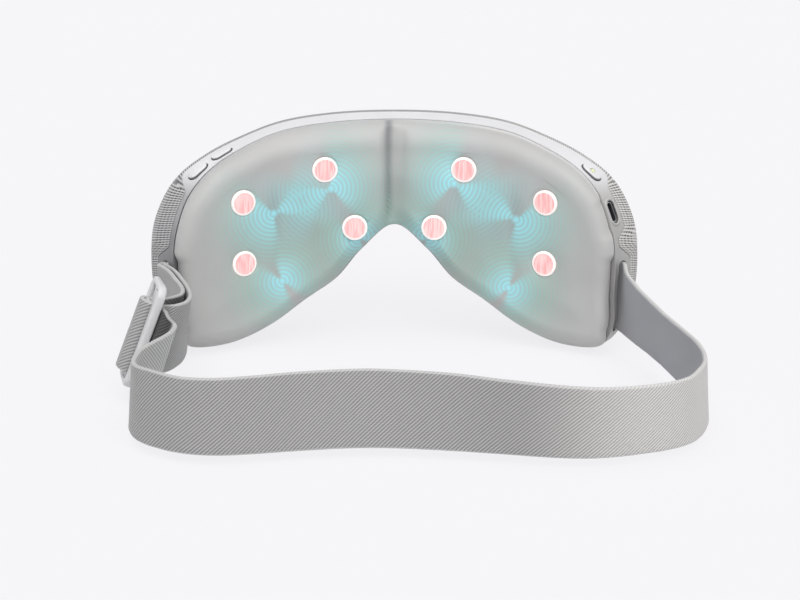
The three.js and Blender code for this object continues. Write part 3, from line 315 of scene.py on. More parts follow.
def outlineFrame(station):
    # point of the outline and its outward direction in the XZ plane
    here = outlineAt(station)
    a, b = outlineAt(station - visor["step"]), outlineAt(station + visor["step"])
    dx, dz = b[..., 0] - a[..., 0], b[..., 1] - a[..., 1]
    run = np.hypot(dx, dz)
    return here, -dz / run, dx / run


def skin(station, depth):
    # side wall: it flares out quickly behind the rim, then runs straight back
    here, outX, outZ = outlineFrame(station)
    share = np.clip(depth / visor["sideDepth"], 0, 1)
    spread = here[..., 2] * (share * (2 - share)) ** visor["flareCurve"]
    x, z = here[..., 0], here[..., 1]
    return np.stack(np.broadcast_arrays(x + outX * spread, wrapY(x) + depth, z + outZ * spread), -1)


def unit(vectors):
    # each vector divided by its length
    return vectors / np.linalg.norm(vectors, axis=-1, keepdims=True)


def wallAxes(station, depth):
    # along the outline, away from the face, and out of the wall
    h = visor["step"]
    along = unit(skin(station + h, depth) - skin(station - h, depth))
    back = unit(skin(station, depth + h) - skin(station, depth - h))
    out = unit(np.cross(along, back))
    return along, np.cross(out, along), out


def wall(station, depth, inset):
    # the skin moved inwards, square to itself
    return skin(station, depth) - wallAxes(station, depth)[2] * np.asarray(inset, float)[..., None]


def face(station, inset, depth):
    # face side: inset square to the outline near the rim, turning to the spine further in
    here, outX, outZ = outlineFrame(station)
    x, z = here[..., 0], here[..., 1]
    spineX = np.clip(x / visor["halfWidth"], -1, 1) * visor["spineReach"]
    spineZ = visor["spineTop"] - visor["spineDrop"] * (spineX / visor["spineReach"]) ** 2
    far = np.hypot(spineX - x, spineZ - z)
    turn = inset / visor["frontRoll"]
    px = x + inset * (-outX * (1 - turn) + (spineX - x) / far * turn)
    pz = z + inset * (-outZ * (1 - turn) + (spineZ - z) / far * turn)
    return np.stack(np.broadcast_arrays(px, wrapY(px) + depth, pz), -1)


def evenStations(count):
    # stations spaced evenly along the rim's length, from the top centre right round
    fine = np.linspace(0, spans, 6401)
    line = skin(fine, np.zeros_like(fine))
    length = np.concatenate([[0], np.cumsum(np.linalg.norm(np.diff(line, axis=0), axis=1))])
    even = np.linspace(0, length[-1], count + 1)[:-1]
    return np.interp(even, length, fine), even, length[-1]


def wallMatrix(station, depth):
    # frame of a slot, button or port in the wall
    s, d = np.array([station]), np.array([depth])
    x, y, z = (a[0] for a in wallAxes(s, d))
    return np.stack([x, y, z], 1), skin(s, d)[0]


# depths of the knit cover's rear edge, and the stations between which it steps to the next
edgeValues = {
    "top": 13.2, "side": 3.2, "besidePort": 7.0, "slot": 8.3, "bottom": 8.0,
    "pastButtons": (4.62, 4.95), "pastPort": (6.0, 6.35), "atSlot": (6.5, 7.05), "pastSlot": (9.5, 9.95),
}
# how far the cushion stands back from the rim, and the stations of the pads that it makes room for
rimValues = {
    "plain": 0.5, "slot": 1.6, "slotStart": (6.62, 7.02), "slotEnd": (9.2, 9.7),
    "port": 0.8, "portStart": (4.82, 5.14), "portEnd": (5.86, 6.2),
}


def clothEdge(station):
    # the edge steps round the buttons, the port and the slots
    v = edgeValues
    side = sideStation(station)
    right = np.mod(station, spans) < halfSpans
    middle = np.where(right, v["besidePort"], v["side"])
    edge = v["top"] + (middle - v["top"]) * smooth(side, *v["pastButtons"])
    edge = edge + (v["side"] - middle) * smooth(side, *v["pastPort"])
    edge = edge + (v["slot"] - v["side"]) * smooth(side, *v["atSlot"])
    return edge + (v["bottom"] - v["slot"]) * smooth(side, *v["pastSlot"])


def rimInset(station):
    # the cushion steps back from the pads of the port and of the slots
    v = rimValues
    turn = np.mod(station, spans)
    side = sideStation(station)
    slot = smooth(side, *v["slotStart"]) * (1 - smooth(side, *v["slotEnd"]))
    port = np.where(turn < halfSpans, smooth(turn, *v["portStart"]) * (1 - smooth(turn, *v["portEnd"])), 0)
    return v["plain"] + v["slot"] * slot + v["port"] * port


def bezier(a, b, c, count):
    # rounds the corner b between a and c
    t = np.linspace(0, 1, count)[:, None, None]
    return list(a * (1 - t) ** 2 + 2 * b * t * (1 - t) + c * t ** 2)


print("outline worked out")

# Mid frame: one section carried round the outline, then its openings

frameValues = {
    "stations": 900, "cloth": 0.8, "gap": 0.3, "wall": 1.5, "depth": 14.5, "inside": 8.0, "rearRound": 0.5,
    "flange": 11.0, "flangeThick": 1.8, "flangeBend": 3.6, "faceBend": 2.2, "rimRound": 0.55, "cutPast": 2.0,
    "grooveHalf": 0.17, "grooveDepth": 0.22, "grooveFaint": 0.8, "grooveLeft": 0.6, "grooveSlot": 0.6,
}
slotValues = {
    "station": 8.07, "depth": 4.1, "length": 31.4, "mouth": 5.0, "room": (-3.6, 5.2), "roomDepth": 12.0,
}
buttonValues = {
    "length": 9.6, "width": 5.2, "depth": 5.8, "gap": 0.35, "lowerGap": 0.6, "pipe": 1.2,
    "places": {"mode": 32 - 4.26, "level": 32 - 3.46, "power": 4.3},
}
portValues = {"station": 5.5, "depth": 3.2, "length": 9.0, "width": 3.4, "hole": 1.0, "holeDepth": 9.0}
innerWall = frameValues["cloth"] + frameValues["gap"] + frameValues["wall"]


def pillLine(length, width, count=48):
    # outline of a bar with half-round ends
    r = width / 2
    run = max(length / 2 - r, 0)
    turn = np.linspace(-math.pi / 2, math.pi * 1.5, count, endpoint=False) + math.pi / count
    x = np.cos(turn) * r + np.where(np.cos(turn) > 0, run, -run)
    return np.stack([x, np.sin(turn) * r], 1)


def stackRings(rings, turnMatrix=None, origin=None):
    # rings of equal length joined into a closed body with flat ends
    count = len(rings[0])
    points = np.concatenate(rings)
    faces = gridFaces(len(rings), count, closeColumns=True).tolist()
    faces.append(list(range(count))[::-1])
    last = (len(rings) - 1) * count
    faces.append([last + k for k in range(count)])
    if turnMatrix is not None:
        points = points @ turnMatrix.T + origin
    return points, faces


def pillBody(name, length, width, low, high, turnMatrix, origin):
    # a bar with half-round ends between two heights over the wall
    line = pillLine(length, width)
    rings = [np.column_stack([line, np.full(len(line), h)]) for h in (low, high)]
    return makeMesh(name, *stackRings(rings, turnMatrix, origin))


def grooveDepths(s):
    # the seam beside the cushion: deeper down the left side and at the slots, faint at the right
    v = frameValues
    side = sideStation(s)
    left = s > halfSpans
    plain = v["grooveDepth"] * np.where(left, 1.0, 1 - v["grooveFaint"] * smooth(side, 2.0, 3.6))
    slot = smooth(side, 6.5, 7.1) * (1 - smooth(side, 9.0, 9.9))
    return plain + v["grooveLeft"] * left * smooth(side, 2.6, 4.6) + v["grooveSlot"] * slot


def frameSection(s):
    # lines round the visor, in the section's order: face, groove, rim, side, rear edge, and back inside
    v = frameValues
    edge = clothEdge(s) - v["gap"]
    inset = rimInset(s)
    near, far = inset - v["grooveHalf"], inset + v["grooveHalf"]
    deep = grooveDepths(s)
    zero = np.zeros_like(s)
    lines = [face(s, zero + v["flange"], zero), face(s, inset + v["faceBend"], zero)]
    lines += [face(s, far + 0.2, zero), face(s, far, zero + 0.18), face(s, far, deep), face(s, near, deep)]
    ledge = face(s, np.maximum(near - 0.3, 0.12), zero)
    lines += bezier(face(s, near, zero + 0.2), face(s, near, zero), ledge, 4)
    lip = np.clip(near * 0.5, 0.1, v["rimRound"])
    lines += bezier(face(s, lip, zero), skin(s, zero), skin(s, zero + v["rimRound"]), 5)
    lines += [skin(s, edge * share) for share in (0.15, 0.3, 0.45, 0.6, 0.75, 0.9)]
    lines += bezier(skin(s, edge - v["rearRound"]), skin(s, edge), wall(s, edge, zero + v["rearRound"]), 5)
    for depth in (edge, (edge + v["depth"]) / 2, zero + v["depth"]):
        lines.append(wall(s, depth, zero + v["cloth"] + v["gap"]))
    for depth in (v["depth"], v["inside"], v["flangeThick"]):
        lines.append(wall(s, zero + depth, zero + innerWall))
    for reach in (v["flangeBend"], v["flange"]):
        lines.append(face(s, zero + reach, zero + v["flangeThick"]))
    return np.stack(lines)


def frameCutters():
    # the slots with the room behind each, the holes of the buttons, and the port
    past = frameValues["cutPast"]
    v = slotValues
    half = v["length"] / 2
    low, high = v["room"]
    corners = np.array([[-half, low], [half, low], [half, high], [-half, high]])
    cutters = []
    for station in (v["station"], spans - v["station"]):
        turn, origin = wallMatrix(station, v["depth"])
        cutters.append(pillBody("cutter", v["length"], v["mouth"], -innerWall - past, past, turn, origin))
        rings = [np.column_stack([corners, np.full(4, h)]) for h in (-v["roomDepth"], -innerWall)]
        cutters.append(makeMesh("cutter", *stackRings(rings, turn, origin)))
    v = buttonValues
    length, width = v["length"] + 2 * v["gap"], v["width"] + 2 * v["gap"] + v["lowerGap"]
    for station in v["places"].values():
        turn, origin = wallMatrix(station, v["depth"])
        lowered = origin - turn[:, 1] * v["lowerGap"] / 2
        cutters.append(pillBody("cutter", length, width, -innerWall - past, past, turn, lowered))
    v = portValues
    turn, origin = wallMatrix(v["station"], v["depth"])
    cutters.append(pillBody(
        "cutter", v["length"] + v["hole"], v["width"] + v["hole"], -v["holeDepth"], past, turn, origin,
    ))
    return cutters


def makeFrame():
    # the section carried round the outline, less the openings
    s = evenStations(frameValues["stations"])[0]
    points = frameSection(s)
    faces = gridFaces(len(points), len(s), closeRows=True, closeColumns=True)
    return cutWith(makeMesh("frame_band", points.reshape(-1, 3), faces), frameCutters(), 32)


frameBand = makeFrame()
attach(frameBand, "goggles")
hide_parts("mid_frame")
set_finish(frameBand, "shell_plastic")
print("frame made")

# Raised edge round the charging port: how far out from the hole, and height over the wall

portRimProfile = [
    (0.0, -1.2), (0.0, 0.1), (0.12, 0.3), (0.35, 0.4), (0.8, 0.34), (1.1, 0.12), (1.3, -0.3), (1.3, -1.2),
]


def makePortRim():
    v = portValues
    turn, origin = wallMatrix(v["station"], v["depth"])
    rings = []
    for out, height in portRimProfile:
        line = pillLine(v["length"] + v["hole"] + 2 * out, v["width"] + v["hole"] + 2 * out)
        rings.append(np.column_stack([line, np.full(len(line), height)]))
    points = np.concatenate(rings) @ turn.T + origin
    faces = gridFaces(len(rings), len(rings[0]), closeRows=True, closeColumns=True)
    return makeMesh("port_rim", points, faces)


portRim = makePortRim()
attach(portRim, "goggles")
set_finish(portRim, "shell_plastic")
print("port edge made")

# Ears that hold the strap pins behind the slots

earValues = {"round": 6.4, "halfThick": 1.1, "edge": 0.92, "flat": 0.8, "forward": 0.8, "sink": 6.4}


def makeEars():
    # a round plate at each end of each pin, a little smaller at its two faces
    v = earValues
    line = pillLine(v["round"], v["round"] - 0.01, 32)
    points, faces = [], []
    for station in (slotValues["station"], spans - slotValues["station"]):
        turn, origin = wallMatrix(station, slotValues["depth"])
        for end in (-1, 1):
            middle = end * (slotValues["length"] / 2 + v["halfThick"])
            rings = []
            for place, size in ((-1, v["edge"]), (-v["flat"], 1), (v["flat"], 1), (1, v["edge"])):
                x = np.full(len(line), middle + v["halfThick"] * place)
                y, z = line[:, 1] * size + v["forward"], line[:, 0] * size - v["sink"]
                rings.append(np.column_stack([x, y, z]))
            plate, sides = stackRings(rings, turn, origin)
            faces += [[i + len(points) for i in row] for row in sides]
            points += plate.tolist()
    return makeMesh("pin_ears", np.array(points), faces, sharp=40)


pinEars = makeEars()
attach(pinEars, "goggles")
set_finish(pinEars, "shell_plastic")
print("pin ears made")


# Knit cover: the outer skin from its rolled rear edge over the round side to the front face

clothValues = {
    "stations": 1100, "thick": 0.8, "roll": 0.4, "sideRows": 12, "rollRows": 12, "frontGrid": 2.4,
    "ribPitch": 0.95, "ribLook": 15.0, "ribBend": 5.0, "leastClimb": 0.6,
    "levelFrom": (4.0, 5.8), "levelTo": (6.9, 8.8), "holePitch": 2.3,
}


def rollPoint(station, angle):
    # quarter turn from the side wall to the front face
    edge = skin(station, np.full_like(station, visor["sideDepth"]))
    inner = face(station, np.full_like(station, visor["frontRoll"]), np.zeros_like(station))
    inner[:, 1] = frontFaceY(inner[:, 0])
    across, up = 1 - math.cos(angle), math.sin(angle)
    shares = np.array([across, up, across])
    return edge + (inner - edge) * shares


def fillInside(ring, spacing, rounds=()):
    # triangles inside a ring of XZ points: a grid of points, and rings of points in the round places
    low, high = ring.min(0), ring.max(0)
    columns = np.arange(low[0], high[0], spacing)
    rows = np.arange(low[1], high[1], spacing * 0.9)
    gx, gz = np.meshgrid(columns, rows)
    gx = gx + np.where(np.arange(len(rows)) % 2, spacing / 2, 0)[:, None]
    grid = np.stack([gx.ravel(), gz.ravel()], 1)
    grid = grid[insideRing(grid, ring) & (nearest(grid, ring) > spacing * 0.55)]
    t = np.linspace(0, 2 * math.pi, 56, endpoint=False)
    circle = np.stack([np.cos(t), np.sin(t)], 1)
    pieces = [ring, grid]
    for centre, radius in rounds:
        pieces[1] = pieces[1][np.hypot(*(pieces[1] - centre).T) > radius]
        pieces += [centre + (radius - less) * circle for less in (0.35, 0.75, 1.15, 2.2, 4.0)]
    flat = np.concatenate(pieces)
    found = delaunay_2d_cdt([Vector(p) for p in flat.tolist()], [], [list(range(len(ring)))], 1, 1e-5)
    return np.array([list(p) for p in found[0]]), [list(f) for f in found[2]]


def insideRing(points, ring):
    # a point is inside when a line from it crosses the ring an odd number of times
    a, b = ring, np.roll(ring, -1, 0)
    count = np.zeros(len(points), int)
    for start in range(0, len(points), 4000):
        p = points[start:start + 4000]
        crosses = (a[None, :, 1] > p[:, None, 1]) != (b[None, :, 1] > p[:, None, 1])
        at = a[:, 0] + (p[:, None, 1] - a[:, 1]) / (b[:, 1] - a[:, 1] + 1e-12) * (b[:, 0] - a[:, 0])
        count[start:start + 4000] = (crosses & (p[:, None, 0] < at)).sum(1)
    return count % 2 == 1


def nearest(points, ring):
    # distance from each point to the closest point of the ring
    found = np.empty(len(points))
    for start in range(0, len(points), 4000):
        p = points[start:start + 4000]
        found[start:start + 4000] = np.sqrt(((p[:, None, :] - ring[None, :, :]) ** 2).sum(-1)).min(1)
    return found


def ribPhases(s, run, total, points):
    # ribs are square to the outline, and at the sides level for someone who looks down on the visor
    v = clothValues
    square = np.broadcast_to(run / total * round(total / v["ribPitch"]), points.shape[:2])
    side = sideStation(s)
    level = smooth(side, *v["levelFrom"]) * (1 - smooth(side, *v["levelTo"]))
    look = math.radians(v["ribLook"])
    height = points[:, :, 2] * math.cos(look) + points[:, :, 1] * math.sin(look)
    climb = np.gradient(height[3]) / np.gradient(run)
    climb = np.sign(climb) * np.maximum(np.abs(climb), v["leastClimb"])
    rows = np.minimum(np.arange(len(height)), v["sideRows"] + 2)  # over the round side they keep their place
    bend = (height[rows] - height[3]) / climb
    return square + level * v["ribBend"] * np.tanh(bend / v["ribBend"]) / v["ribPitch"]


def makeCloth():
    # rows round the outline: rolled edge, side wall, quarter turn, then triangles over the front face
    v = clothValues
    s, run, total = evenStations(v["stations"])
    edge = clothEdge(s)
    zero = np.zeros_like(s)
    rolled = ((0.0, v["thick"]), (0.0, 0.35), (0.12, 0.08), (v["roll"], 0.0))
    lines = [wall(s, edge + back, zero + inset) for back, inset in rolled]
    for share in np.linspace(0.08, 1, v["sideRows"]):
        lines.append(wall(s, edge + v["roll"] + (visor["sideDepth"] - edge - v["roll"]) * share, zero))
    lines += [rollPoint(s, a) for a in np.radians(np.linspace(7.5, 90, v["rollRows"]))]
    points = np.stack(lines)
    steps = np.linalg.norm(np.diff(points, axis=0), axis=2)
    away = np.cumsum(np.concatenate([np.zeros((1, len(s))), steps]), 0)
    away = away - away[3]
    ring = points[-1]
    flat, patch = fillInside(ring[:, [0, 2]], v["frontGrid"])
    front = np.stack([flat[:, 0], frontFaceY(flat[:, 0]), flat[:, 1]], 1)
    count = points.shape[0] * points.shape[1]
    faces = gridFaces(points.shape[0], len(s), closeColumns=True).tolist()
    faces += [[i + count for i in row] for row in patch]
    turned = np.concatenate([np.zeros(len(lines) - 8), np.linspace(0.0, 1, 8)])
    values = {
        "ribPhase": np.concatenate([ribPhases(s, run, total, points).ravel(), np.zeros(len(front))]),
        "edgeRun": np.concatenate([away.ravel(), np.full(len(front), 60.0)]),
        "frontShare": np.concatenate([np.repeat(turned, len(s)), np.ones(len(front))]),
    }
    return makeMesh("knit_cover", np.concatenate([points.reshape(-1, 3), front]), faces, values, merge=0.004)


knitCover = makeCloth()
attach(knitCover, "goggles")
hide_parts("front_fabric")
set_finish(knitCover, "knit")
print("knit cover made")

# Cushion: a rounded side that rises from the rim, then a crown with folds

cushionValues = {
    "stations": 760, "grid": 1.25, "sideRows": 26, "rise": 12.3, "lift": 0.6, "shoulder": 11.0, "round": 2.2,
    "tuck": 0.12, "under": 8.0, "crown": 1.2, "crownReach": 13.0,
    "crease": 3.4, "creaseWidth": 4.5, "creaseFrom": 40.0,
    "eye": 2.2, "eyePlace": (0.473 * visor["halfWidth"], 0.509 * visor["height"]), "eyeReach": 17.0,
    "contacts": [(0.314, 0.792), (0.677, 0.663), (0.181, 0.516), (0.677, 0.379)], "contactRadius": 5.4,
    "dent": 0.5, "wideDent": 0.35, "wave": 0.18,
}
contactPlaces = [
    np.array([sign * x * visor["halfWidth"], z * visor["height"]])
    for sign in (1, -1) for x, z in cushionValues["contacts"]
]

# folds: place across, lean with height, width, depth, heights where it begins and where it ends
foldValues = [(-2.4, 0.0, 2.1, 1.9, (44, 56), None), (3.6, 0.0, 1.4, 0.35, (62, 80), None)]
for sign in (-1, 1):
    foldValues.append((sign * 50.0, sign * 0.03, 3.4, 0.75, (16, 34), (58, 76)))
    foldValues.append((sign * 26.0, 0.0, 2.8, 0.5, (44, 56), (62, 72)))


def creaseAt(x):
    # the middle crease: a bell curve across the pad
    return cushionValues["crease"] * np.exp(-(x / cushionValues["creaseWidth"]) ** 2)


def eyeAt(x, z):
    # the eye hollows: a bell curve round each eye
    v = cushionValues
    ex, ez = v["eyePlace"]
    return v["eye"] * np.exp(-((np.abs(x) - ex) ** 2 + (z - ez) ** 2) / v["eyeReach"] ** 2)


def cushionBase(x, z):
    # the solid's own surface, on which the contacts sit
    return wrapY(x) - cushionValues["rise"] - cushionValues["crown"] + creaseAt(x) + eyeAt(x, z)


def folds(x, z):
    # each is a bell curve across the pad that comes and goes with height, over a slow wave both ways
    total = cushionValues["wave"] * np.sin(x * 0.11 + 0.6) * np.sin(z * 0.13 + 1.1)
    for place, lean, width, depth, begin, end in foldValues:
        fold = depth * np.exp(-((x - place - lean * (z - 40)) / width) ** 2) * smooth(z, *begin)
        total += fold * (1 - smooth(z, *end)) if end else fold
    return total


def contactNear(x, z):
    # distance to the nearest contact's centre
    return np.min([np.hypot(x - c[0], z - c[1]) for c in contactPlaces], 0)


def cushionSide(s):
    # superellipse from the rim up to the crown; crease and folds come in as it rises
    v = cushionValues
    start = rimInset(s)
    zero = np.zeros_like(s)
    lines = [face(s, zero + v["under"], zero - 0.3), face(s, start + 1.0, zero - 0.3)]
    lines.append(face(s, start + 0.25, zero - 0.35))
    start = start + v["tuck"]
    end = rimValues["plain"] + v["shoulder"]
    for angle in np.radians(np.linspace(0, 90, v["sideRows"])):
        across = 1 - math.cos(angle) ** (2 / v["round"])
        up = math.sin(angle) ** (2 / v["round"])
        line = face(s, start + (end - start) * across, zero - v["lift"] - up * (v["rise"] - v["lift"]))
        x, z = line[:, 0], line[:, 2]
        hollow = creaseAt(x) * (z > v["creaseFrom"]) + folds(x, z) * 0.9
        line[:, 1] += smooth(up, 0.35, 1.0) * hollow
        lines.append(line)
    return np.stack(lines)


def cushionCrown(x, z, away):
    # the crown swells with the distance from the ring, and has a shallow dent at each contact
    v = cushionValues
    crown = smooth(away, 0, v["crownReach"])
    crease = creaseAt(x) * np.where(z > v["creaseFrom"], 1, crown)
    near = contactNear(x, z)
    folded = folds(x, z) * (0.9 + 0.1 * crown) * smooth(near, 5.0, 12.0)
    dent = v["dent"] * (1 - smooth(near, v["contactRadius"] - 0.1, v["contactRadius"] + 0.7))
    dent += v["wideDent"] * np.exp(-((near - 5.6) / 2.6) ** 2)
    return wrapY(x) - v["rise"] - v["crown"] * crown + crease + eyeAt(x, z) * crown + folded + dent


def makeCushion():
    # rows up its side, then triangles over the crown
    v = cushionValues
    s = evenStations(v["stations"])[0]
    points = cushionSide(s)
    ring = points[-1][:, [0, 2]]
    flat, patch = fillInside(ring, v["grid"], [(c, v["contactRadius"] + 1.15) for c in contactPlaces])
    x, z = flat.T
    crownPoints = np.stack([x, cushionCrown(x, z, nearest(flat, ring)), z], 1)
    count = points.shape[0] * points.shape[1]
    faces = gridFaces(points.shape[0], len(s), closeColumns=True).tolist()
    faces += [[i + count for i in row] for row in patch]
    every = np.concatenate([points.reshape(-1, 3), crownPoints])
    rim = np.repeat(np.clip(1 - (np.arange(len(points)) - 3) / 5, 0, 1), len(s))
    values = {
        "fold": folds(every[:, 0], every[:, 2]) * (every[:, 2] > 12),
        "rim": np.concatenate([rim, np.zeros(len(crownPoints))]),
    }
    return makeMesh("cushion_pad", every, faces, values, merge=0.004)


softValues = {
    "voxel": 0.005, "pressure": 4.0, "steps": 20, "most": 1.2, "blend": 5.0,
    "rimHeld": (2.5, 6.0), "contactHeld": (6.0, 9.5), "creaseHeld": 0.85,
}


def pointsOf(mesh):
    # the mesh's points as rows of three
    co = np.empty(len(mesh.vertices) * 3)
    mesh.vertices.foreach_get("co", co)
    return co.reshape(-1, 3)


def holdShare(points):
    # 1 at the rim, near the contacts and in the middle crease, 0 where the pad is free to swell
    v = softValues
    x, y, z = (points * 1000.0 - visorShift).T
    rim = 1 - smooth(wrapY(x) - y, *v["rimHeld"])
    near = 1 - smooth(contactNear(x, z), *v["contactHeld"])
    crease = v["creaseHeld"] * np.exp(-((x + 1.0) / 5.0) ** 2)
    return np.clip(np.maximum(np.maximum(rim, near), crease), 0, 1)


def swell(piece):
    # a coarse copy is blown up as cloth, and its movement, kept small, is passed on to the fine mesh
    v = softValues
    trial = bpy.data.objects.new("swelling_copy", piece.data.copy())
    bpy.context.scene.collection.objects.link(trial)
    coarse = trial.modifiers.new("coarse", "REMESH")
    coarse.mode, coarse.voxel_size = "VOXEL", v["voxel"]
    applyModifiers(trial)
    start = pointsOf(trial.data)
    held = holdShare(start)
    group = trial.vertex_groups.new(name="held")
    for level in np.linspace(0.1, 1.0, 10):
        group.add(np.flatnonzero(np.abs(held - level) <= 0.05).tolist(), float(level), "REPLACE")
    cloth = trial.modifiers.new("swelling", "CLOTH")
    cloth.settings.use_pressure = True
    cloth.settings.uniform_pressure_force = v["pressure"]
    cloth.settings.vertex_group_mass = "held"
    cloth.settings.effector_weights.gravity = 0
    cloth.point_cache.frame_start, cloth.point_cache.frame_end = 1, v["steps"]
    for step in range(1, v["steps"] + 1):
        bpy.context.scene.frame_set(step)
    blown = trial.evaluated_get(bpy.context.evaluated_depsgraph_get())
    moved = (pointsOf(blown.data) - start) * 1000.0
    bpy.context.scene.frame_set(1)
    moved *= np.minimum(1.0, v["most"] / (np.linalg.norm(moved, axis=1) + 1e-9))[:, None]
    bpy.data.objects.remove(trial)
    fine = pointsOf(piece.data)
    shift = np.empty_like(fine)
    for first in range(0, len(fine), 3000):
        apart = ((fine[first:first + 3000, None, :] - start[None]) ** 2).sum(-1) * 1e6
        weight = np.exp(-apart / v["blend"] ** 2) + 1e-12
        shift[first:first + 3000] = weight @ moved / weight.sum(1)[:, None]
    shift *= (1 - holdShare(fine))[:, None]
    piece.data.vertices.foreach_set("co", (fine + shift / 1000.0).ravel())
    piece.data.update()
    print("swelling, most in mm", round(float(np.linalg.norm(shift, axis=1).max()), 2))


cushionPad = makeCushion()
swell(cushionPad)
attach(cushionPad, "goggles")
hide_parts("cushion")
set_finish(cushionPad, "cushion_skin")
print("cushion made")


# Heat contacts: low domes with a rounded edge, on the cushion's own frames

def contactMatrix(x, z):
    # axes of a contact: two along the cushion, and one into it, from the slopes of the base surface
    h = 0.02
    slopeX = (cushionBase(x + h, z) - cushionBase(x - h, z)) / (2 * h)
    slopeZ = (cushionBase(x, z + h) - cushionBase(x, z - h)) / (2 * h)
    into = unit(np.array([-slopeX, 1, -slopeZ]))
    across = unit(np.array([-1, -slopeX, 0]))
    return np.stack([across, np.cross(into, across), into], 1), np.array([x, cushionBase(x, z), z])


contactProfile = [
    (5.4, 1.2), (5.4, 0.25), (5.3, 0.06), (5.12, -0.06), (4.85, -0.13), (4.66, -0.17), (4.55, -0.2),
    (4.42, -0.18), (3.2, -0.22), (2.2, -0.25), (1.1, -0.27), (0.3, -0.28),
]  # radius, and depth into the cushion
contactNames = [f"heat_contact_{side}_{i}" for side in ("right", "left") for i in (1, 2, 3, 4)]


def makeContact(name, place):
    # the profile turned round the contact's own axis
    steps = 72
    turn = np.linspace(0, 2 * math.pi, steps, endpoint=False)
    circle = np.column_stack([np.cos(turn), np.sin(turn)])
    rings = [np.column_stack([r * circle, np.full(steps, h)]) for r, h in contactProfile]
    points, faces = stackRings(rings, *contactMatrix(*place))
    radial = np.repeat([r for r, _ in contactProfile], steps)
    piece = makeMesh(name + "_pad", points, faces, {"radial": radial})
    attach(piece, "goggles")
    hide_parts(name)
    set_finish(piece, "contact_pad")
    return piece


contactPads = [makeContact(n, p) for n, p in zip(contactNames, contactPlaces)]
print("contacts made")

# Buttons: a pill with a soft top edge over its flange

buttonRings = [
    (-1.0, -3.9), (-1.0, -2.9), (0.0, -2.9), (0.0, 0.3), (0.06, 0.56), (0.2, 0.76), (0.42, 0.87), (0.8, 0.92),
    (1.5, 0.95), (2.2, 0.96), (2.5, 0.96),
]  # how far in from the cap's outline, and height over the wall


def makeButton(name, station):
    # rings of the cap's outline, each further in and higher; the shade falls on its side walls
    v = buttonValues
    steps = 64
    rings = []
    for inset, height in buttonRings:
        line = pillLine(v["length"] - 2 * inset, v["width"] - 2 * inset, steps)
        rings.append(np.column_stack([line, np.full(steps, height)]))
    turn, origin = wallMatrix(station, v["depth"])
    shade = np.repeat(1 - smooth(np.array([h for _, h in buttonRings]), 0.2, 0.72), steps)
    piece = makeMesh(name + "_cap", *stackRings(rings, turn, origin), {"shade": shade}, sharp=50)
    if name == "power_button":
        hole = pillBody("cutter", 2 * v["pipe"], 2 * v["pipe"] - 0.01, -6, 3, turn, origin)
        cutWith(piece, [hole], 50)
    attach(piece, name)
    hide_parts(name)
    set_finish(piece, "shell_plastic")
    return piece


buttonCaps = [makeButton(n + "_button", s) for n, s in buttonValues["places"].items()]
print("buttons made")

# Strap: rows from slot to slider and round the head, then one section carried along them

strapValues = {
    "width": 30.0, "thick": 1.8, "spread": 120.0, "reach": 170.0, "offCentre": 3.0, "gap": 0.3,
    "stepsPerRow": 22,
}
pinValues = {"back": 0.8, "radius": 1.5}
pinSink = innerWall + 2 * strapValues["gap"] + strapValues["thick"] + pinValues["radius"]
loopRadius = pinValues["radius"] + strapValues["gap"] + strapValues["thick"] / 2

# Rows round the head: place as shares of spread, reach and width, then how the webbing leans
sewnShares = [
    [-0.778, -0.194, 1.233, -0.12, -0.093], [-0.717, -0.315, 1.22, 0, -0.05],
    [-0.685, -0.4, 1.2, 0.133, -0.017], [-0.677, -0.447, 1.193, 0.217, 0.01],
    [-0.688, -0.494, 1.187, 0.283, 0.04], [-0.717, -0.518, 1.187, 0.333, 0.067],
]
mainShares = [
    [-0.799, -0.194, 1.233, -0.113, -0.087], [-0.743, -0.3, 1.22, 0.017, -0.04],
    [-0.708, -0.388, 1.207, 0.167, 0], [-0.71, -0.429, 1.2, 0.267, 0.033],
    [-0.735, -0.456, 1.2, 0.333, 0.067],
]
bandShares = [
    [-0.728, -0.585, 1.12, 0.347, 0.08], [-0.705, -0.612, 1.067, 0.333, 0.067],
    [-0.71, -0.644, 1.043, 0.3, 0.033], [-0.73, -0.682, 1.03, 0.253, -0.017],
    [-0.762, -0.727, 1.02, 0.193, -0.08], [-0.79, -0.771, 1.007, 0.14, -0.133],
    [-0.803, -0.818, 0.993, 0.1, -0.167], [-0.802, -0.861, 0.98, 0.073, -0.187],
    [-0.783, -0.897, 0.99, 0.047, -0.107], [-0.741, -0.929, 1, 0.03, -0.037],
    [-0.642, -0.984, 0.997, 0.03, -0.077], [-0.536, -0.996, 1, 0.013, -0.047],
    [-0.432, -0.98, 1, 0.013, -0.007], [-0.283, -0.946, 0.997, 0.007, 0.053],
    [-0.074, -0.924, 0.997, 0, 0.073], [0.171, -0.958, 1, -0.007, -0.013],
    [0.32, -0.999, 0.993, -0.017, -0.127], [0.523, -1.041, 0.977, -0.033, -0.21],
    [0.627, -1.046, 0.967, -0.043, -0.253], [0.737, -1.028, 0.957, -0.053, -0.293],
    [0.831, -0.997, 0.95, -0.063, -0.303], [0.898, -0.955, 0.95, -0.067, -0.297],
    [0.938, -0.899, 0.963, -0.063, -0.253], [0.964, -0.841, 0.963, -0.067, -0.26],
    [0.972, -0.771, 0.97, -0.1, -0.227], [0.962, -0.688, 0.977, -0.15, -0.167],
    [0.933, -0.6, 0.993, -0.2, -0.12], [0.891, -0.484, 1.017, -0.235, -0.1],
    [0.86, -0.388, 1.053, -0.217, -0.133], [0.831, -0.308, 1.097, -0.19, -0.125],
    [0.807, -0.2, 1.163, -0.067, -0.108],
]
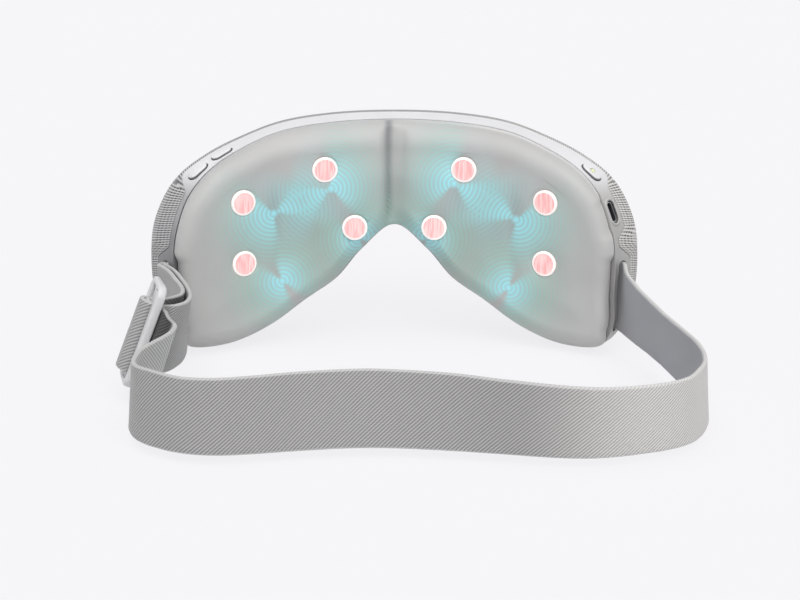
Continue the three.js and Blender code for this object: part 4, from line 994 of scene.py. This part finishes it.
# Rows in the slider and in the slots, in strap thicknesses
sewnWrapShares = [
    [4.05, 1.7], [4.06, 0.3], [4.06, -0.5], [4.45, -1.2], [5.55, -1.4], [6.65, -1.2], [7.05, -0.5], [7, 0.3],
    [6.7, 1.4],
]
mainWrapShares = [
    [8.8, 1.6], [8.25, 0.2], [8.1, -1.3], [7, -2.4], [5.55, -2.65], [4.1, -2.4],
    [3, -1.3], [2.9, 0], [2.45, 0.8], [1.45, 1.35], [0, 1.45], [-1.5, 1.65],
]
mainMouth = [[0.35, 1.6], [0.6, 0.25], [0.64, -1.4]]
sewnMouth = [[-0.58, 0.75], [-0.62, -0.3], [-0.64, -1.4]]
rightMouth = [[-0.3, 0.95], [0.35, 0], [0.6, -1.4]]


def worldRows(table):
    # rows round the head: the upper edge, and the way the webbing leans
    v = strapValues
    t = np.array(table)
    up = np.column_stack([t[:, 3:5], np.sqrt(1 - t[:, 3] ** 2 - t[:, 4] ** 2)])
    top = t[:, :3] * [v["spread"], v["reach"], v["width"]]
    return top - up * v["width"] / 2, up


def slotRows(right, table):
    # rows in a slot: across it towards the front, and outwards, in strap thicknesses
    t = np.array(table, float) * strapValues["thick"]
    station = slotValues["station"] if right else spans - slotValues["station"]
    turn, origin = wallMatrix(station, slotValues["depth"])
    points = t[:, :1] * turn[:, 1] + t[:, 1:2] * turn[:, 2] + origin
    return points, np.repeat((-turn[:, 0] if right else turn[:, 0])[None], len(t), 0)


def loopTable():
    # a turn of the webbing round a strap pin
    angle = np.radians([-35, 10, 55, 100, 145, 190])
    t = strapValues["thick"]
    return np.column_stack([
        (pinValues["back"] + loopRadius * np.cos(angle)) / t, -(pinSink + loopRadius * np.sin(angle)) / t,
    ])


def sliderAxes():
    # away from the near bar, along the bars, and to the inner side
    v = strapValues
    place = np.array([-0.8025, -0.562, 0.833]) * [v["spread"], v["reach"], v["width"]]
    up = unit(np.array([0.354, 0.085, 0.931]))
    away = np.array([-0.26, 0.965, 0.0])
    away = unit(away - up * (away @ up))
    return np.stack([away, up, np.cross(away, up)], 1), place


def sliderRows(table):
    # rows in the slider: away from the near bar, and to the inner side, in strap thicknesses
    t = np.array(table) * strapValues["thick"]
    matrix, place = sliderAxes()
    local = np.column_stack([t[:, 0], np.full(len(t), -strapValues["offCentre"]), t[:, 1]])
    return local @ matrix.T + place, np.repeat(matrix[:, 1][None], len(t), 0)


def backwards(rows):
    # the same rows from last to first
    return rows[0][::-1], rows[1][::-1]


def strapLine():
    # from the sewn end through slider, left slot and slider again, round the head, into the right slot
    parts = [
        backwards(sliderRows(sewnWrapShares)), backwards(worldRows(sewnShares)), slotRows(False, sewnMouth),
        backwards(slotRows(False, loopTable())), backwards(slotRows(False, mainMouth)), worldRows(mainShares),
        sliderRows(mainWrapShares), worldRows(bandShares), slotRows(True, rightMouth),
        slotRows(True, loopTable()), slotRows(True, sewnMouth[2:]),
    ]
    return np.concatenate([p[0] for p in parts]), np.concatenate([p[1] for p in parts])


def throughPoints(p, steps):
    # centripetal Catmull-Rom curve: each span's ends and slopes come from its neighbours
    ends = np.concatenate([[2 * p[0] - p[1]], p, [2 * p[-1] - p[-2]]])
    a, b, c, d = ends[:-3], ends[1:-2], ends[2:-1], ends[3:]
    t0, t1, t2 = (np.sqrt(np.linalg.norm(v - u, axis=1))[:, None] for u, v in ((a, b), (b, c), (c, d)))
    m1 = ((b - a) / t0 - (c - a) / (t0 + t1) + (c - b) / t1) * t1
    m2 = ((c - b) / t1 - (d - b) / (t1 + t2) + (d - c) / t2) * t1
    f = (np.arange(steps) / steps)[None, :, None]
    b, c, m1, m2 = (v[:, None, :] for v in (b, c, m1, m2))
    line = b + m1 * f + (3 * (c - b) - 2 * m1 - m2) * f ** 2 + (2 * (b - c) + m1 + m2) * f ** 3
    return np.concatenate([line.reshape(-1, 3), p[-1:]])


def webbingSection():
    # flat faces with half-round edges: across the width, through the thickness
    half, r = strapValues["width"] / 2, strapValues["thick"] / 2
    flat = np.linspace(-half + r, half - r, 15)
    turn = np.linspace(-math.pi / 2, math.pi / 2, 7)[1:-1]
    low = np.column_stack([flat, np.full(15, -r)])
    right = np.column_stack([half - r + np.cos(turn) * r, np.sin(turn) * r])
    return np.concatenate([low, right, -low, -right])


def makeStrap():
    # the section carried along the rows' curve, with its width kept along the leaning direction
    rows, ups = strapLine()
    n = strapValues["stepsPerRow"]
    line = throughPoints(rows, n)
    share = np.arange(len(line)) / n
    up = unit(np.stack([np.interp(share, np.arange(len(ups)), ups[:, k]) for k in range(3)], 1))
    tangent = unit(np.gradient(line, axis=0))
    across = unit(np.cross(up, tangent))
    section = webbingSection()
    points = line[:, None] + up[:, None] * section[None, :, :1] + across[:, None] * section[None, :, 1:]
    run = np.concatenate([[0], np.cumsum(np.linalg.norm(np.diff(line, axis=0), axis=1))])
    count = len(section)
    faces = gridFaces(len(line), count, closeColumns=True).tolist()
    last = (len(line) - 1) * count
    faces += [list(range(count))[::-1], [last + k for k in range(count)]]
    values = {
        "alongRun": np.repeat(run, count),
        "acrossRun": np.tile(section[:, 0], len(line)),
        "innerSide": np.tile(section[:, 1] / strapValues["thick"] + 0.5, len(line)),
    }
    return makeMesh("head_strap", points.reshape(-1, 3), faces, values)


headStrap = makeStrap()
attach(headStrap, "goggles")
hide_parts("strap")
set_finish(headStrap, "webbing")
print("strap made")

# Slider: a round-edged plate with two windows

sliderValues = {
    "bottom": -22.8, "top": 20.2, "thick": 2.2, "near": 5.0, "middle": 3.0, "far": 4.5, "window": 6.0,
    "corner": 5.0, "windowCorner": 1.2, "end": 3.0, "edge": 0.9, "deepen": 2.2,
}


def roundedBox(lowX, highX, lowY, highY, radius, count=10):
    # rectangle with quarter-round corners
    turn = np.linspace(0, math.pi / 2, count)
    corners = [(highX - radius, highY - radius), (lowX + radius, highY - radius),
               (lowX + radius, lowY + radius), (highX - radius, lowY + radius)]
    parts = []
    for quarter, corner in enumerate(corners):
        t = turn + quarter * math.pi / 2
        parts.append(np.array(corner) + radius * np.column_stack([np.cos(t), np.sin(t)]))
    return np.concatenate(parts)


def sliderOutlines():
    # the plate and its two windows, each drawn in by the rounded edge
    v = sliderValues
    e = v["edge"]
    low, high = -v["near"] / 2, v["near"] / 2 + 2 * v["window"] + v["middle"] + v["far"]
    outlines = [roundedBox(low + e, high - e, v["bottom"] + e, v["top"] - e, v["corner"] - e)]
    bottom, top = v["bottom"] + v["end"] - e, v["top"] - v["end"] + e
    for start in (v["near"] / 2, v["near"] / 2 + v["window"] + v["middle"]):
        outlines.append(roundedBox(start - e, start + v["window"] + e, bottom, top, v["windowCorner"] + e, 8))
    return outlines


def makeSlider():
    # a flat filled curve with a round bevel; the near bar is deepened on its outer side
    v = sliderValues
    curve = bpy.data.curves.new("slider_line", "CURVE")
    curve.dimensions, curve.fill_mode = "2D", "BOTH"
    curve.extrude, curve.bevel_depth, curve.bevel_resolution = v["thick"] / 2 - v["edge"], v["edge"], 5
    for line in sliderOutlines():
        spline = curve.splines.new("POLY")
        spline.points.add(len(line) - 1)
        level = np.tile([0.0, 1.0], (len(line), 1))
        spline.points.foreach_set("co", np.column_stack([line, level]).ravel())
        spline.use_cyclic_u = True
    flat = bpy.data.objects.new("slider_line", curve)
    bpy.context.scene.collection.objects.link(flat)
    mesh = bpy.data.meshes.new_from_object(flat.evaluated_get(bpy.context.evaluated_depsgraph_get()))
    bpy.data.objects.remove(flat)
    points = pointsOf(mesh)
    nearBar = (points[:, 0] < v["near"] / 2 + 0.1) & (points[:, 2] < 0)
    points[nearBar, 2] *= v["deepen"]
    matrix, place = sliderAxes()
    faces = [list(p.vertices) for p in mesh.polygons]
    return makeMesh("strap_slider", points @ matrix.T + place, faces, merge=0.002, sharp=40)


strapSlider = makeSlider()
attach(strapSlider, "goggles")
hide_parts("slider")
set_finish(strapSlider, "slider_plastic")
print("slider made")

# Materials

# painted shade on the pale frame: grey tones lower down, paler towards the right; gap is the painted shadow
# on the caps' side walls
frameTones = {
    "low": (158, 158, 160), "lowRight": (172, 171, 169), "lowFrom": (0.065, 0.079),
    "deepShare": 0.84, "deepRight": (164, 163, 162), "deepFrom": (0.05, 0.062),
    "gap": (84, 84, 86), "rightFrom": (0.0, 0.06),
}


def frameShade(tree, tone):
    # painted shade: the pale frame is greyer lower down, where less light reaches it, less so at the right,
    # where the light falls, and painted shadow darkens the side walls of the caps
    v = frameTones
    place = objectAxes(tree)
    right = ramp(tree, place[0], *v["rightFrom"])
    grey = mixColours(tree, right, linear(*v["low"]), linear(*v["lowRight"]))
    tone = mixColours(tree, ramp(tree, place[2], *v["lowFrom"]), grey, tone)
    deep = mixColours(tree, right, linear(*[c * v["deepShare"] for c in v["low"]]), linear(*v["deepRight"]))
    tone = mixColours(tree, ramp(tree, place[2], *v["deepFrom"]), deep, tone)
    return mixColours(tree, times(tree, attribute(tree, "shade"), 0.9), tone, linear(*v["gap"]))


def plasticMaterial(name, colour, roughness=0.42, grain=900.0, shading=None):
    # moulded plastic: fine spark grain and faint clouding
    material, tree, shader = newMaterial(name, colour, roughness, specular=0.45)
    cloud = ramp(tree, noise(tree, 60.0, 2.0), 0.3, 0.7)
    tone = mixColours(tree, cloud, linear(*colour), dimmed(colour, 0.955))
    setInput(tree, shader, "Base Color", shading(tree, tone) if shading else tone)
    fine = noise(tree, grain, 4.0, 0.6)
    setInput(tree, shader, "Roughness", maths(tree, "MULTIPLY_ADD", fine, 0.12, roughness - 0.06))
    bumpFrom(tree, shader, fine, 0.00004, 0.35)
    return material


# fans of rings: x and z in millimetres, the line's slope in degrees, the way it falls, the long fan's side
rippleCentres = [
    (-26.7, 65.0, 24, -1, -1), (-50.9, 55.3, 24, -1, 1), (-47.6, 25.9, 34, -1, 0), (-14.9, 42.9, 30, -1, 0),
    (25.2, 67.1, 27, 1, 1), (51.5, 52.7, 27, 1, -1), (48.7, 23.0, 30, 1, 0), (14.1, 42.9, 30, 1, 0),
]
rippleValues = {
    "pitch": 1.8, "core": 12.5, "lowCore": 8.5, "longCore": 21.0, "reach": 21.5, "fan": (0.0, 0.5),
    "longFan": (0.62, 0.95), "neck": 1.8, "cyan": (158, 222, 232), "green": (146, 190, 173), "glow": 0.07,
}
# fold and hollow are painted shade; edge is painted light that lifts the shaded seam along the right part of
# the rim
cushionTones = {
    "base": (183, 182, 181), "fold": (108, 112, 113), "edge": (232, 230, 228), "edgeFrom": (-0.02, 0.05),
    "hollow": (138, 152, 148), "hollowPlace": (38.0, 47.0), "hollowReach": (26.0, 20.0),
}


def rippleFan(tree, place, x, z, slope, side, longer):
    # rings by distance, seen in two fans about a sloping line: one wide and green, one near and bright
    v = rippleValues
    at = toFrame((x, 0, z))
    dx = times(tree, minus(tree, place[0], float(at[0])), 1000.0)
    dz = times(tree, minus(tree, place[2], float(at[2])), 1000.0)
    square = plus(tree, times(tree, dx, dx), times(tree, dz, dz))
    far = maths(tree, "SQRT", square)
    tilt = math.radians(slope)
    across = plus(tree, times(tree, dx, math.cos(tilt)), times(tree, dz, -side * math.sin(tilt)))
    aim = maths(tree, "DIVIDE", maths(tree, "ABSOLUTE", across), plus(tree, far, 0.4))
    onward = maths(tree, "GREATER_THAN", times(tree, across, float(longer)), 0.0)
    fan = mixValues(tree, onward, ramp(tree, aim, *v["fan"]), ramp(tree, aim, *v["longFan"]))
    rings = maths(tree, "MULTIPLY_ADD", sineWave(tree, far, v["pitch"]), 0.36, 0.64)
    wide = maths(tree, "POWER", maths(tree, "DIVIDE", far, v["reach"]), 3.0)
    soft = maths(tree, "EXPONENT", times(tree, wide, -1.0))
    near = v["core"] if longer else v["lowCore"]
    fall = maths(tree, "MULTIPLY_ADD", onward, 1 / near ** 2 - 1 / v["longCore"] ** 2, -1 / near ** 2)
    core = maths(tree, "EXPONENT", times(tree, square, fall))
    neck = maths(tree, "EXPONENT", times(tree, square, -1 / v["neck"] ** 2))
    green = times(tree, times(tree, fan, rings), soft)
    faint = maths(tree, "MULTIPLY_ADD", rings, 0.66, 0.34)
    return green, maths(tree, "MAXIMUM", times(tree, times(tree, fan, faint), core), neck)


def largest(tree, values):
    # the largest of several values at each place
    found = values[0]
    for value in values[1:]:
        found = maths(tree, "MAXIMUM", found, value)
    return found


def eyeShade(tree, place):
    # an oval over each eye, the mask of the painted shade in the eye hollows: e to the power of minus the
    # square of the distance from its middle
    v = cushionTones
    middle, foot = (float(visorShift[k]) / 1000 for k in (0, 2))
    outwards = times(tree, maths(tree, "ABSOLUTE", minus(tree, place[0], middle)), 1000.0)
    upwards = times(tree, minus(tree, place[2], foot), 1000.0)
    x = maths(tree, "DIVIDE", minus(tree, outwards, v["hollowPlace"][0]), v["hollowReach"][0])
    z = maths(tree, "DIVIDE", minus(tree, upwards, v["hollowPlace"][1]), v["hollowReach"][1])
    oval = plus(tree, times(tree, x, x), times(tree, z, z))
    return maths(tree, "EXPONENT", times(tree, oval, -1.0))


def cushionMaterial():
    # soft coated cloth: faint grain, painted shade in the hollows and folds, painted light along the right
    # part of the rim, and fans of fine rings by the contacts
    v, tones = rippleValues, cushionTones
    base = tones["base"]
    material, tree, shader = newMaterial("soft_pad_skin", base, 0.52, specular=0.4, sheen=0.12)
    place = objectAxes(tree)
    fans = [rippleFan(tree, place, *centre) for centre in rippleCentres]
    green, glow = (largest(tree, [fan[k] for fan in fans]) for k in (0, 1))
    cloud = ramp(tree, noise(tree, 34.0, 2.0), 0.35, 0.65)
    ground = mixColours(tree, cloud, linear(*base), dimmed(base, 0.95))
    # painted shade in the eye hollows and in the folds, then painted light along the right part of the rim
    ground = mixColours(tree, times(tree, eyeShade(tree, place), 0.6), ground, linear(*tones["hollow"]))
    ground = mixColours(tree, ramp(tree, attribute(tree, "fold"), 0.15, 2.8), ground, linear(*tones["fold"]))
    edging = times(tree, attribute(tree, "rim"), ramp(tree, place[0], *tones["edgeFrom"]))
    ground = mixColours(tree, times(tree, edging, 0.85), ground, linear(*tones["edge"]))
    tinted = mixColours(tree, times(tree, green, 0.85, clamp=True), ground, linear(*v["green"]))
    tinted = mixColours(tree, times(tree, glow, 1.0, clamp=True), tinted, linear(*v["cyan"]))
    setInput(tree, shader, "Base Color", tinted)
    shader.inputs["Emission Color"].default_value = linear(*v["cyan"])
    setInput(tree, shader, "Emission Strength", times(tree, glow, v["glow"]))
    where = {"Vector": node(tree, "TexCoord").outputs["Object"], "Scale": 1500.0}
    grain = node(tree, "TexVoronoi", where, feature="DISTANCE_TO_EDGE").outputs["Distance"]
    bumpFrom(tree, shader, plus(tree, times(tree, grain, 0.5), noise(tree, 700.0, 4.0)), 0.00006, 0.3)
    setInput(tree, shader, "Roughness", maths(tree, "MULTIPLY_ADD", noise(tree, 120.0, 3.0), 0.12, 0.46))
    return material


contactTones = {
    "base": (250, 176, 176), "core": (251, 173, 173), "streak": (254, 204, 202), "ring": (252, 240, 237),
    "ringGlow": (255, 236, 232), "ringFrom": (4.42, 4.56), "glow": 0.22,
}


def contactMaterial():
    # warm pink core in a pale ring, with fine upright streaks
    v = contactTones
    material, tree, shader = newMaterial("warm_contact", v["base"], 0.5, specular=0.35)
    streak = noise(tree, 1400.0, 1.0, 0.5, (1.0, 1.0, 0.08))
    core = mixColours(tree, ramp(tree, streak, 0.35, 0.65), linear(*v["core"]), linear(*v["streak"]))
    ring = ramp(tree, attribute(tree, "radial"), *v["ringFrom"])
    setInput(tree, shader, "Base Color", mixColours(tree, ring, core, linear(*v["ring"])))
    setInput(tree, shader, "Emission Color", mixColours(tree, ring, core, linear(*v["ringGlow"])))
    shader.inputs["Emission Strength"].default_value = v["glow"]
    bumpFrom(tree, shader, streak, 0.00005, 0.3)
    return material


knitTones = {
    "deep": (120, 119, 120), "pale": (194, 193, 193), "hole": (52, 51, 52),
    # painted light: paler tones towards the right, where the light falls
    "deepRight": (152, 150, 149), "paleRight": (212, 210, 208), "rightFrom": (0.0, 0.09),
    "stitch": 0.8, "holesFrom": (0.3, 0.6), "holesTo": (7.6, 9.4),
}


def knitMaterial():
    # fine ribs square to the outline, with a few rows of small holes by the frame, and painted light that
    # makes the knit paler towards the right
    v, ribPitch, stitch = knitTones, clothValues["ribPitch"], knitTones["stitch"]
    material, tree, shader = newMaterial("rib_knit", v["pale"], 0.85, specular=0.25, sheen=0.2)
    front, edge = attribute(tree, "frontShare"), attribute(tree, "edgeRun")
    place = objectAxes(tree)
    side = sineWave(tree, attribute(tree, "ribPhase"), 1.0)
    wave = mixValues(tree, front, side, sineWave(tree, place[0], ribPitch / 1000))
    cross = mixValues(tree, front, sineWave(tree, edge, stitch), sineWave(tree, place[2], stitch / 1000))
    rib = maths(tree, "MULTIPLY_ADD", wave, 0.5, 0.5)
    height = times(tree, rib, maths(tree, "MULTIPLY_ADD", cross, 0.12, 0.88))
    fuzz = noise(tree, 2600.0, 3.0)
    rows = ramp(tree, sineWave(tree, edge, clothValues["holePitch"]), -0.2, 0.5)
    hole = times(tree, rows, ramp(tree, times(tree, side, -1.0), -0.3, 0.4))
    hole = times(tree, hole, window(tree, edge, *v["holesFrom"], *v["holesTo"]))
    tone = maths(tree, "MULTIPLY_ADD", fuzz, 0.3, times(tree, height, 0.85))
    # painted light: the knit grows paler towards the right
    right = ramp(tree, place[0], *v["rightFrom"])
    deep = mixColours(tree, right, linear(*v["deep"]), linear(*v["deepRight"]))
    pale = mixColours(tree, right, linear(*v["pale"]), linear(*v["paleRight"]))
    colour = mixColours(tree, ramp(tree, tone, 0.05, 0.95), deep, pale)
    colour = mixColours(tree, times(tree, hole, 0.9), colour, linear(*v["hole"]))
    setInput(tree, shader, "Base Color", colour)
    relief = minus(tree, plus(tree, height, times(tree, fuzz, 0.2)), hole)
    bumpFrom(tree, shader, relief, 0.00022, 0.7)
    return material


# pitches in millimetres, pairs of a dark and a pale tone, and places along and across the webbing
webbingTones = {
    "twill": 1.55, "lean": 1.05, "thread": 0.62, "weft": 0.9,
    "base": (176, 174, 172), "outer": ((122, 121, 121), (179, 178, 178)),
    # outerRight is painted light: the outer face paler towards the right end
    "outerRight": ((163, 161, 159), (224, 222, 219)), "inner": ((154, 154, 159), (187, 187, 192)),
    "turned": ((152, 152, 151), (211, 211, 209)),
    # fold is painted shadow on the inner face where the webbing lies folded by the slider
    "pocket": ((14, 14, 15), (56, 56, 57)), "fold": (60, 60, 62), "rim": (204, 203, 202),
    "foldRun": (12.0, 18.0, 176.0, 186.0), "pocketRun": (202.0, 207.0, 216.5, 219.5),
    "rightFrom": (0.035, 0.092), "turnedFrom": (-0.09, -0.08), "rimFrom": (14.0, 14.6),
}


def webbingMaterial():
    # twill on the outer face and at the left turn, a smoother inner face, pale edges; painted light makes the
    # outer face paler towards the right, and painted shadow darkens the inner face inside the fold
    v = webbingTones
    material, tree, shader = newMaterial("twill_webbing", v["base"], 0.8, specular=0.2, sheen=0.25)
    along, across = attribute(tree, "alongRun"), attribute(tree, "acrossRun")
    toRight = objectAxes(tree)[0]
    back = ramp(tree, attribute(tree, "innerSide"), 0.55, 0.9)
    smoothBack = times(tree, back, ramp(tree, toRight, *v["turnedFrom"]))
    turned = minus(tree, back, smoothBack)
    right = ramp(tree, toRight, *v["rightFrom"])
    twill = evenWave(tree, minus(tree, along, times(tree, across, v["lean"])), v["twill"])
    threads = evenWave(tree, across, v["thread"])
    ribbed = plus(tree, times(tree, twill, 0.8), times(tree, threads, 0.2))
    height = mixValues(tree, smoothBack, ribbed, times(tree, threads, evenWave(tree, along, v["weft"])))
    fuzz = noise(tree, 2200.0, 3.0)
    tones = []
    for k in (0, 1):
        # painted light: the outer face grows paler towards the right
        outer = mixColours(tree, right, linear(*v["outer"][k]), linear(*v["outerRight"][k]))
        shown = mixColours(tree, back, outer, linear(*v["inner"][k]))
        tones.append(mixColours(tree, turned, shown, linear(*v["turned"][k])))
    weave = plus(tree, times(tree, height, 0.75), times(tree, fuzz, 0.3))
    colour = mixColours(tree, ramp(tree, weave, 0.1, 0.95), *tones)
    # painted shadow: the inner face inside the fold is darker
    folded = times(tree, back, window(tree, along, *v["foldRun"]))
    colour = mixColours(tree, times(tree, folded, 0.85), colour, linear(*v["fold"]))
    # between the slider and the turn of the webbing the outer face lies in deep shadow
    pocket = times(tree, minus(tree, 1.0, back), window(tree, along, *v["pocketRun"]))
    shadow = mixColours(tree, twill, *[linear(*c) for c in v["pocket"]])
    colour = mixColours(tree, times(tree, pocket, 0.94), colour, shadow)
    rim = ramp(tree, maths(tree, "ABSOLUTE", across), *v["rimFrom"])
    setInput(tree, shader, "Base Color", mixColours(tree, times(tree, rim, 0.6), colour, linear(*v["rim"])))
    bumpFrom(tree, shader, plus(tree, height, times(tree, fuzz, 0.25)), 0.00018, 0.6)
    return material


def metalMaterial(name, colour, roughness=0.3):
    # turned metal: fine streaks in its gloss
    material, tree, shader = newMaterial(name, colour, roughness, metallic=1.0)
    streak = noise(tree, 420.0, 3.0, 0.6, (1.0, 6.0, 1.0))
    setInput(tree, shader, "Roughness", maths(tree, "MULTIPLY_ADD", streak, 0.25, roughness - 0.1))
    tone = mixColours(tree, streak, linear(*[c * 0.86 for c in colour]), linear(*colour))
    setInput(tree, shader, "Base Color", tone)
    bumpFrom(tree, shader, streak, 0.00003, 0.25)
    return material


def boardMaterial():
    # solder mask over copper lines
    material, tree, shader = newMaterial("circuit_board", (38, 98, 62), 0.4, specular=0.5)
    black, white = (0, 0, 0, 1), (1, 1, 1, 1)
    bricks = {"Vector": node(tree, "TexCoord").outputs["Object"], "Scale": 260.0, "Mortar Size": 0.06}
    bricks.update({"Color1": black, "Color2": black, "Mortar": white})
    lines = node(tree, "TexBrick", bricks).outputs["Color"]
    tone = mixColours(tree, lines, linear(38, 98, 62), linear(70, 140, 84))
    setInput(tree, shader, "Base Color", tone)
    bumpFrom(tree, shader, lines, 0.00004, 0.3)
    return material


def lensMaterial():
    # yellow-green light pipe with faint specks and an even faint glow
    material, tree, shader = newMaterial("light_pipe", (216, 226, 140), 0.25, specular=0.5)
    speck = noise(tree, 900.0, 2.0)
    tone = mixColours(tree, speck, linear(214, 222, 160), linear(228, 234, 190))
    setInput(tree, shader, "Base Color", tone)
    shader.inputs["Emission Color"].default_value = linear(222, 236, 130)
    shader.inputs["Emission Strength"].default_value = 0.06
    return material


shellPlastic = plasticMaterial("shell_plastic", (220, 220, 222), 0.4, shading=frameShade)
innerPlastic = plasticMaterial("inner_plastic", (205, 205, 203), 0.55, 700.0)
darkPlastic = plasticMaterial("dark_plastic", (38, 38, 40), 0.45)
sliderPlastic = plasticMaterial("slider_plastic", (207, 207, 208), 0.3)
filmSkin = plasticMaterial("heater_film", (62, 50, 46), 0.35, 1600.0)
bladderSkin = plasticMaterial("bladder_rubber", (182, 180, 174), 0.6, 1200.0)
cellWrap = plasticMaterial("cell_wrap", (176, 180, 188), 0.3, 300.0)
steelFinish = metalMaterial("plain_steel", (188, 190, 194), 0.32)
weightFinish = metalMaterial("weight_metal", (150, 132, 112), 0.4)
boardFinish, lensFinish = boardMaterial(), lensMaterial()
bySlot = {
    "shell_plastic": shellPlastic, "inner_plastic": innerPlastic, "dark_plastic": darkPlastic,
    "slider_plastic": sliderPlastic, "knit": knitMaterial(), "cushion_skin": cushionMaterial(),
    "contact_pad": contactMaterial(), "webbing": webbingMaterial(), "steel": steelFinish,
    "weight_metal": weightFinish, "circuit_board": boardFinish, "heater_film": filmSkin,
    "bladder": bladderSkin, "cell": cellWrap, "lens": lensFinish,
}


def dress(piece, material):
    # the material takes the place of any that the piece had
    piece.data.materials.clear()
    piece.data.materials.append(material)


slotOf = {row["node"]: row["material_slot"] for row in frame["record"]["subparts"]}
for name, cadNode in frame["nodes"].items():
    dress(cadNode, bySlot[slotOf[name]])
madePieces = [frameBand, portRim, pinEars, knitCover, cushionPad, headStrap, strapSlider]
for piece in madePieces + contactPads + buttonCaps:
    dress(piece, bySlot[piece["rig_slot"]])
print("materials on")

# Floor, backdrop and light

stageValues = {
    "pale": (245, 244, 247), "floor": (236, 236, 238), "reach": 6.0, "floorLight": 0.12, "glow": 1.015,
    "world": 0.38,
}


def seenStraight(tree):
    # 1 for what the camera sees, also in a gloss or through a clear piece, and 0 for what only gives light
    paths = node(tree, "LightPath").outputs
    bent = maths(tree, "MAXIMUM", paths["Is Glossy Ray"], paths["Is Transmission Ray"])
    return maths(tree, "MAXIMUM", paths["Is Camera Ray"], bent)


def makeFloor():
    # a wide disc that takes a faint shadow and otherwise glows as pale as the backdrop
    v = stageValues
    n = 48
    turn = np.linspace(0, 2 * math.pi, n, endpoint=False)
    points = np.column_stack([np.cos(turn) * v["reach"], np.sin(turn) * v["reach"], np.zeros(n)])
    mesh = bpy.data.meshes.new("floor")
    mesh.from_pydata(points.tolist(), [], [list(range(n))])
    floor = bpy.data.objects.new("floor", mesh)
    bpy.context.scene.collection.objects.link(floor)
    material, tree, shader = newMaterial("pale_floor", v["floor"], 0.9, specular=0.1)
    darker = linear(*[c * 0.985 for c in v["floor"]])
    tone = mixColours(tree, noise(tree, 30.0, 3.0), darker, linear(*v["floor"]))
    setInput(tree, shader, "Base Color", tone)
    glow = node(tree, "Emission", {"Color": linear(*v["pale"]), "Strength": v["glow"]})
    share = times(tree, seenStraight(tree), 1 - v["floorLight"])
    mixed = node(tree, "MixShader", {0: share, 1: shader.outputs[0], 2: glow.outputs[0]})
    tree.links.new(mixed.outputs[0], tree.nodes["Material Output"].inputs["Surface"])
    dress(floor, material)


def makeWorld(strength):
    # the pale backdrop is seen at its own tone and lights the object at the given strength
    world = bpy.data.worlds.new("pale_world")
    bpy.context.scene.world = world
    world.use_nodes = True
    tree = world.node_tree
    light = (strength, strength, strength * 1.01, 1.0)
    colour = mixColours(tree, seenStraight(tree), light, linear(*stageValues["pale"]))
    back = tree.nodes["Background"]
    tree.links.new(colour, back.inputs["Color"])
    back.inputs["Strength"].default_value = 1.0


def makeSun(name, energy, place, spread):
    # a soft sun that shines from its place towards the middle
    data = bpy.data.lights.new(name, "SUN")
    data.energy, data.angle = energy, math.radians(spread)
    sun = bpy.data.objects.new(name, data)
    sun.location = Vector(place)
    sun.rotation_mode = "QUATERNION"
    sun.rotation_quaternion = (-Vector(place)).to_track_quat("-Z", "Y")
    bpy.context.scene.collection.objects.link(sun)


makeFloor()
makeWorld(stageValues["world"])
makeSun("key_light", 2.1, (0.1, -0.64, 0.72), 50)
makeSun("top_light", 0.7, (-0.15, -0.1, 1.0), 40)
print("stage and light set")

print("done")
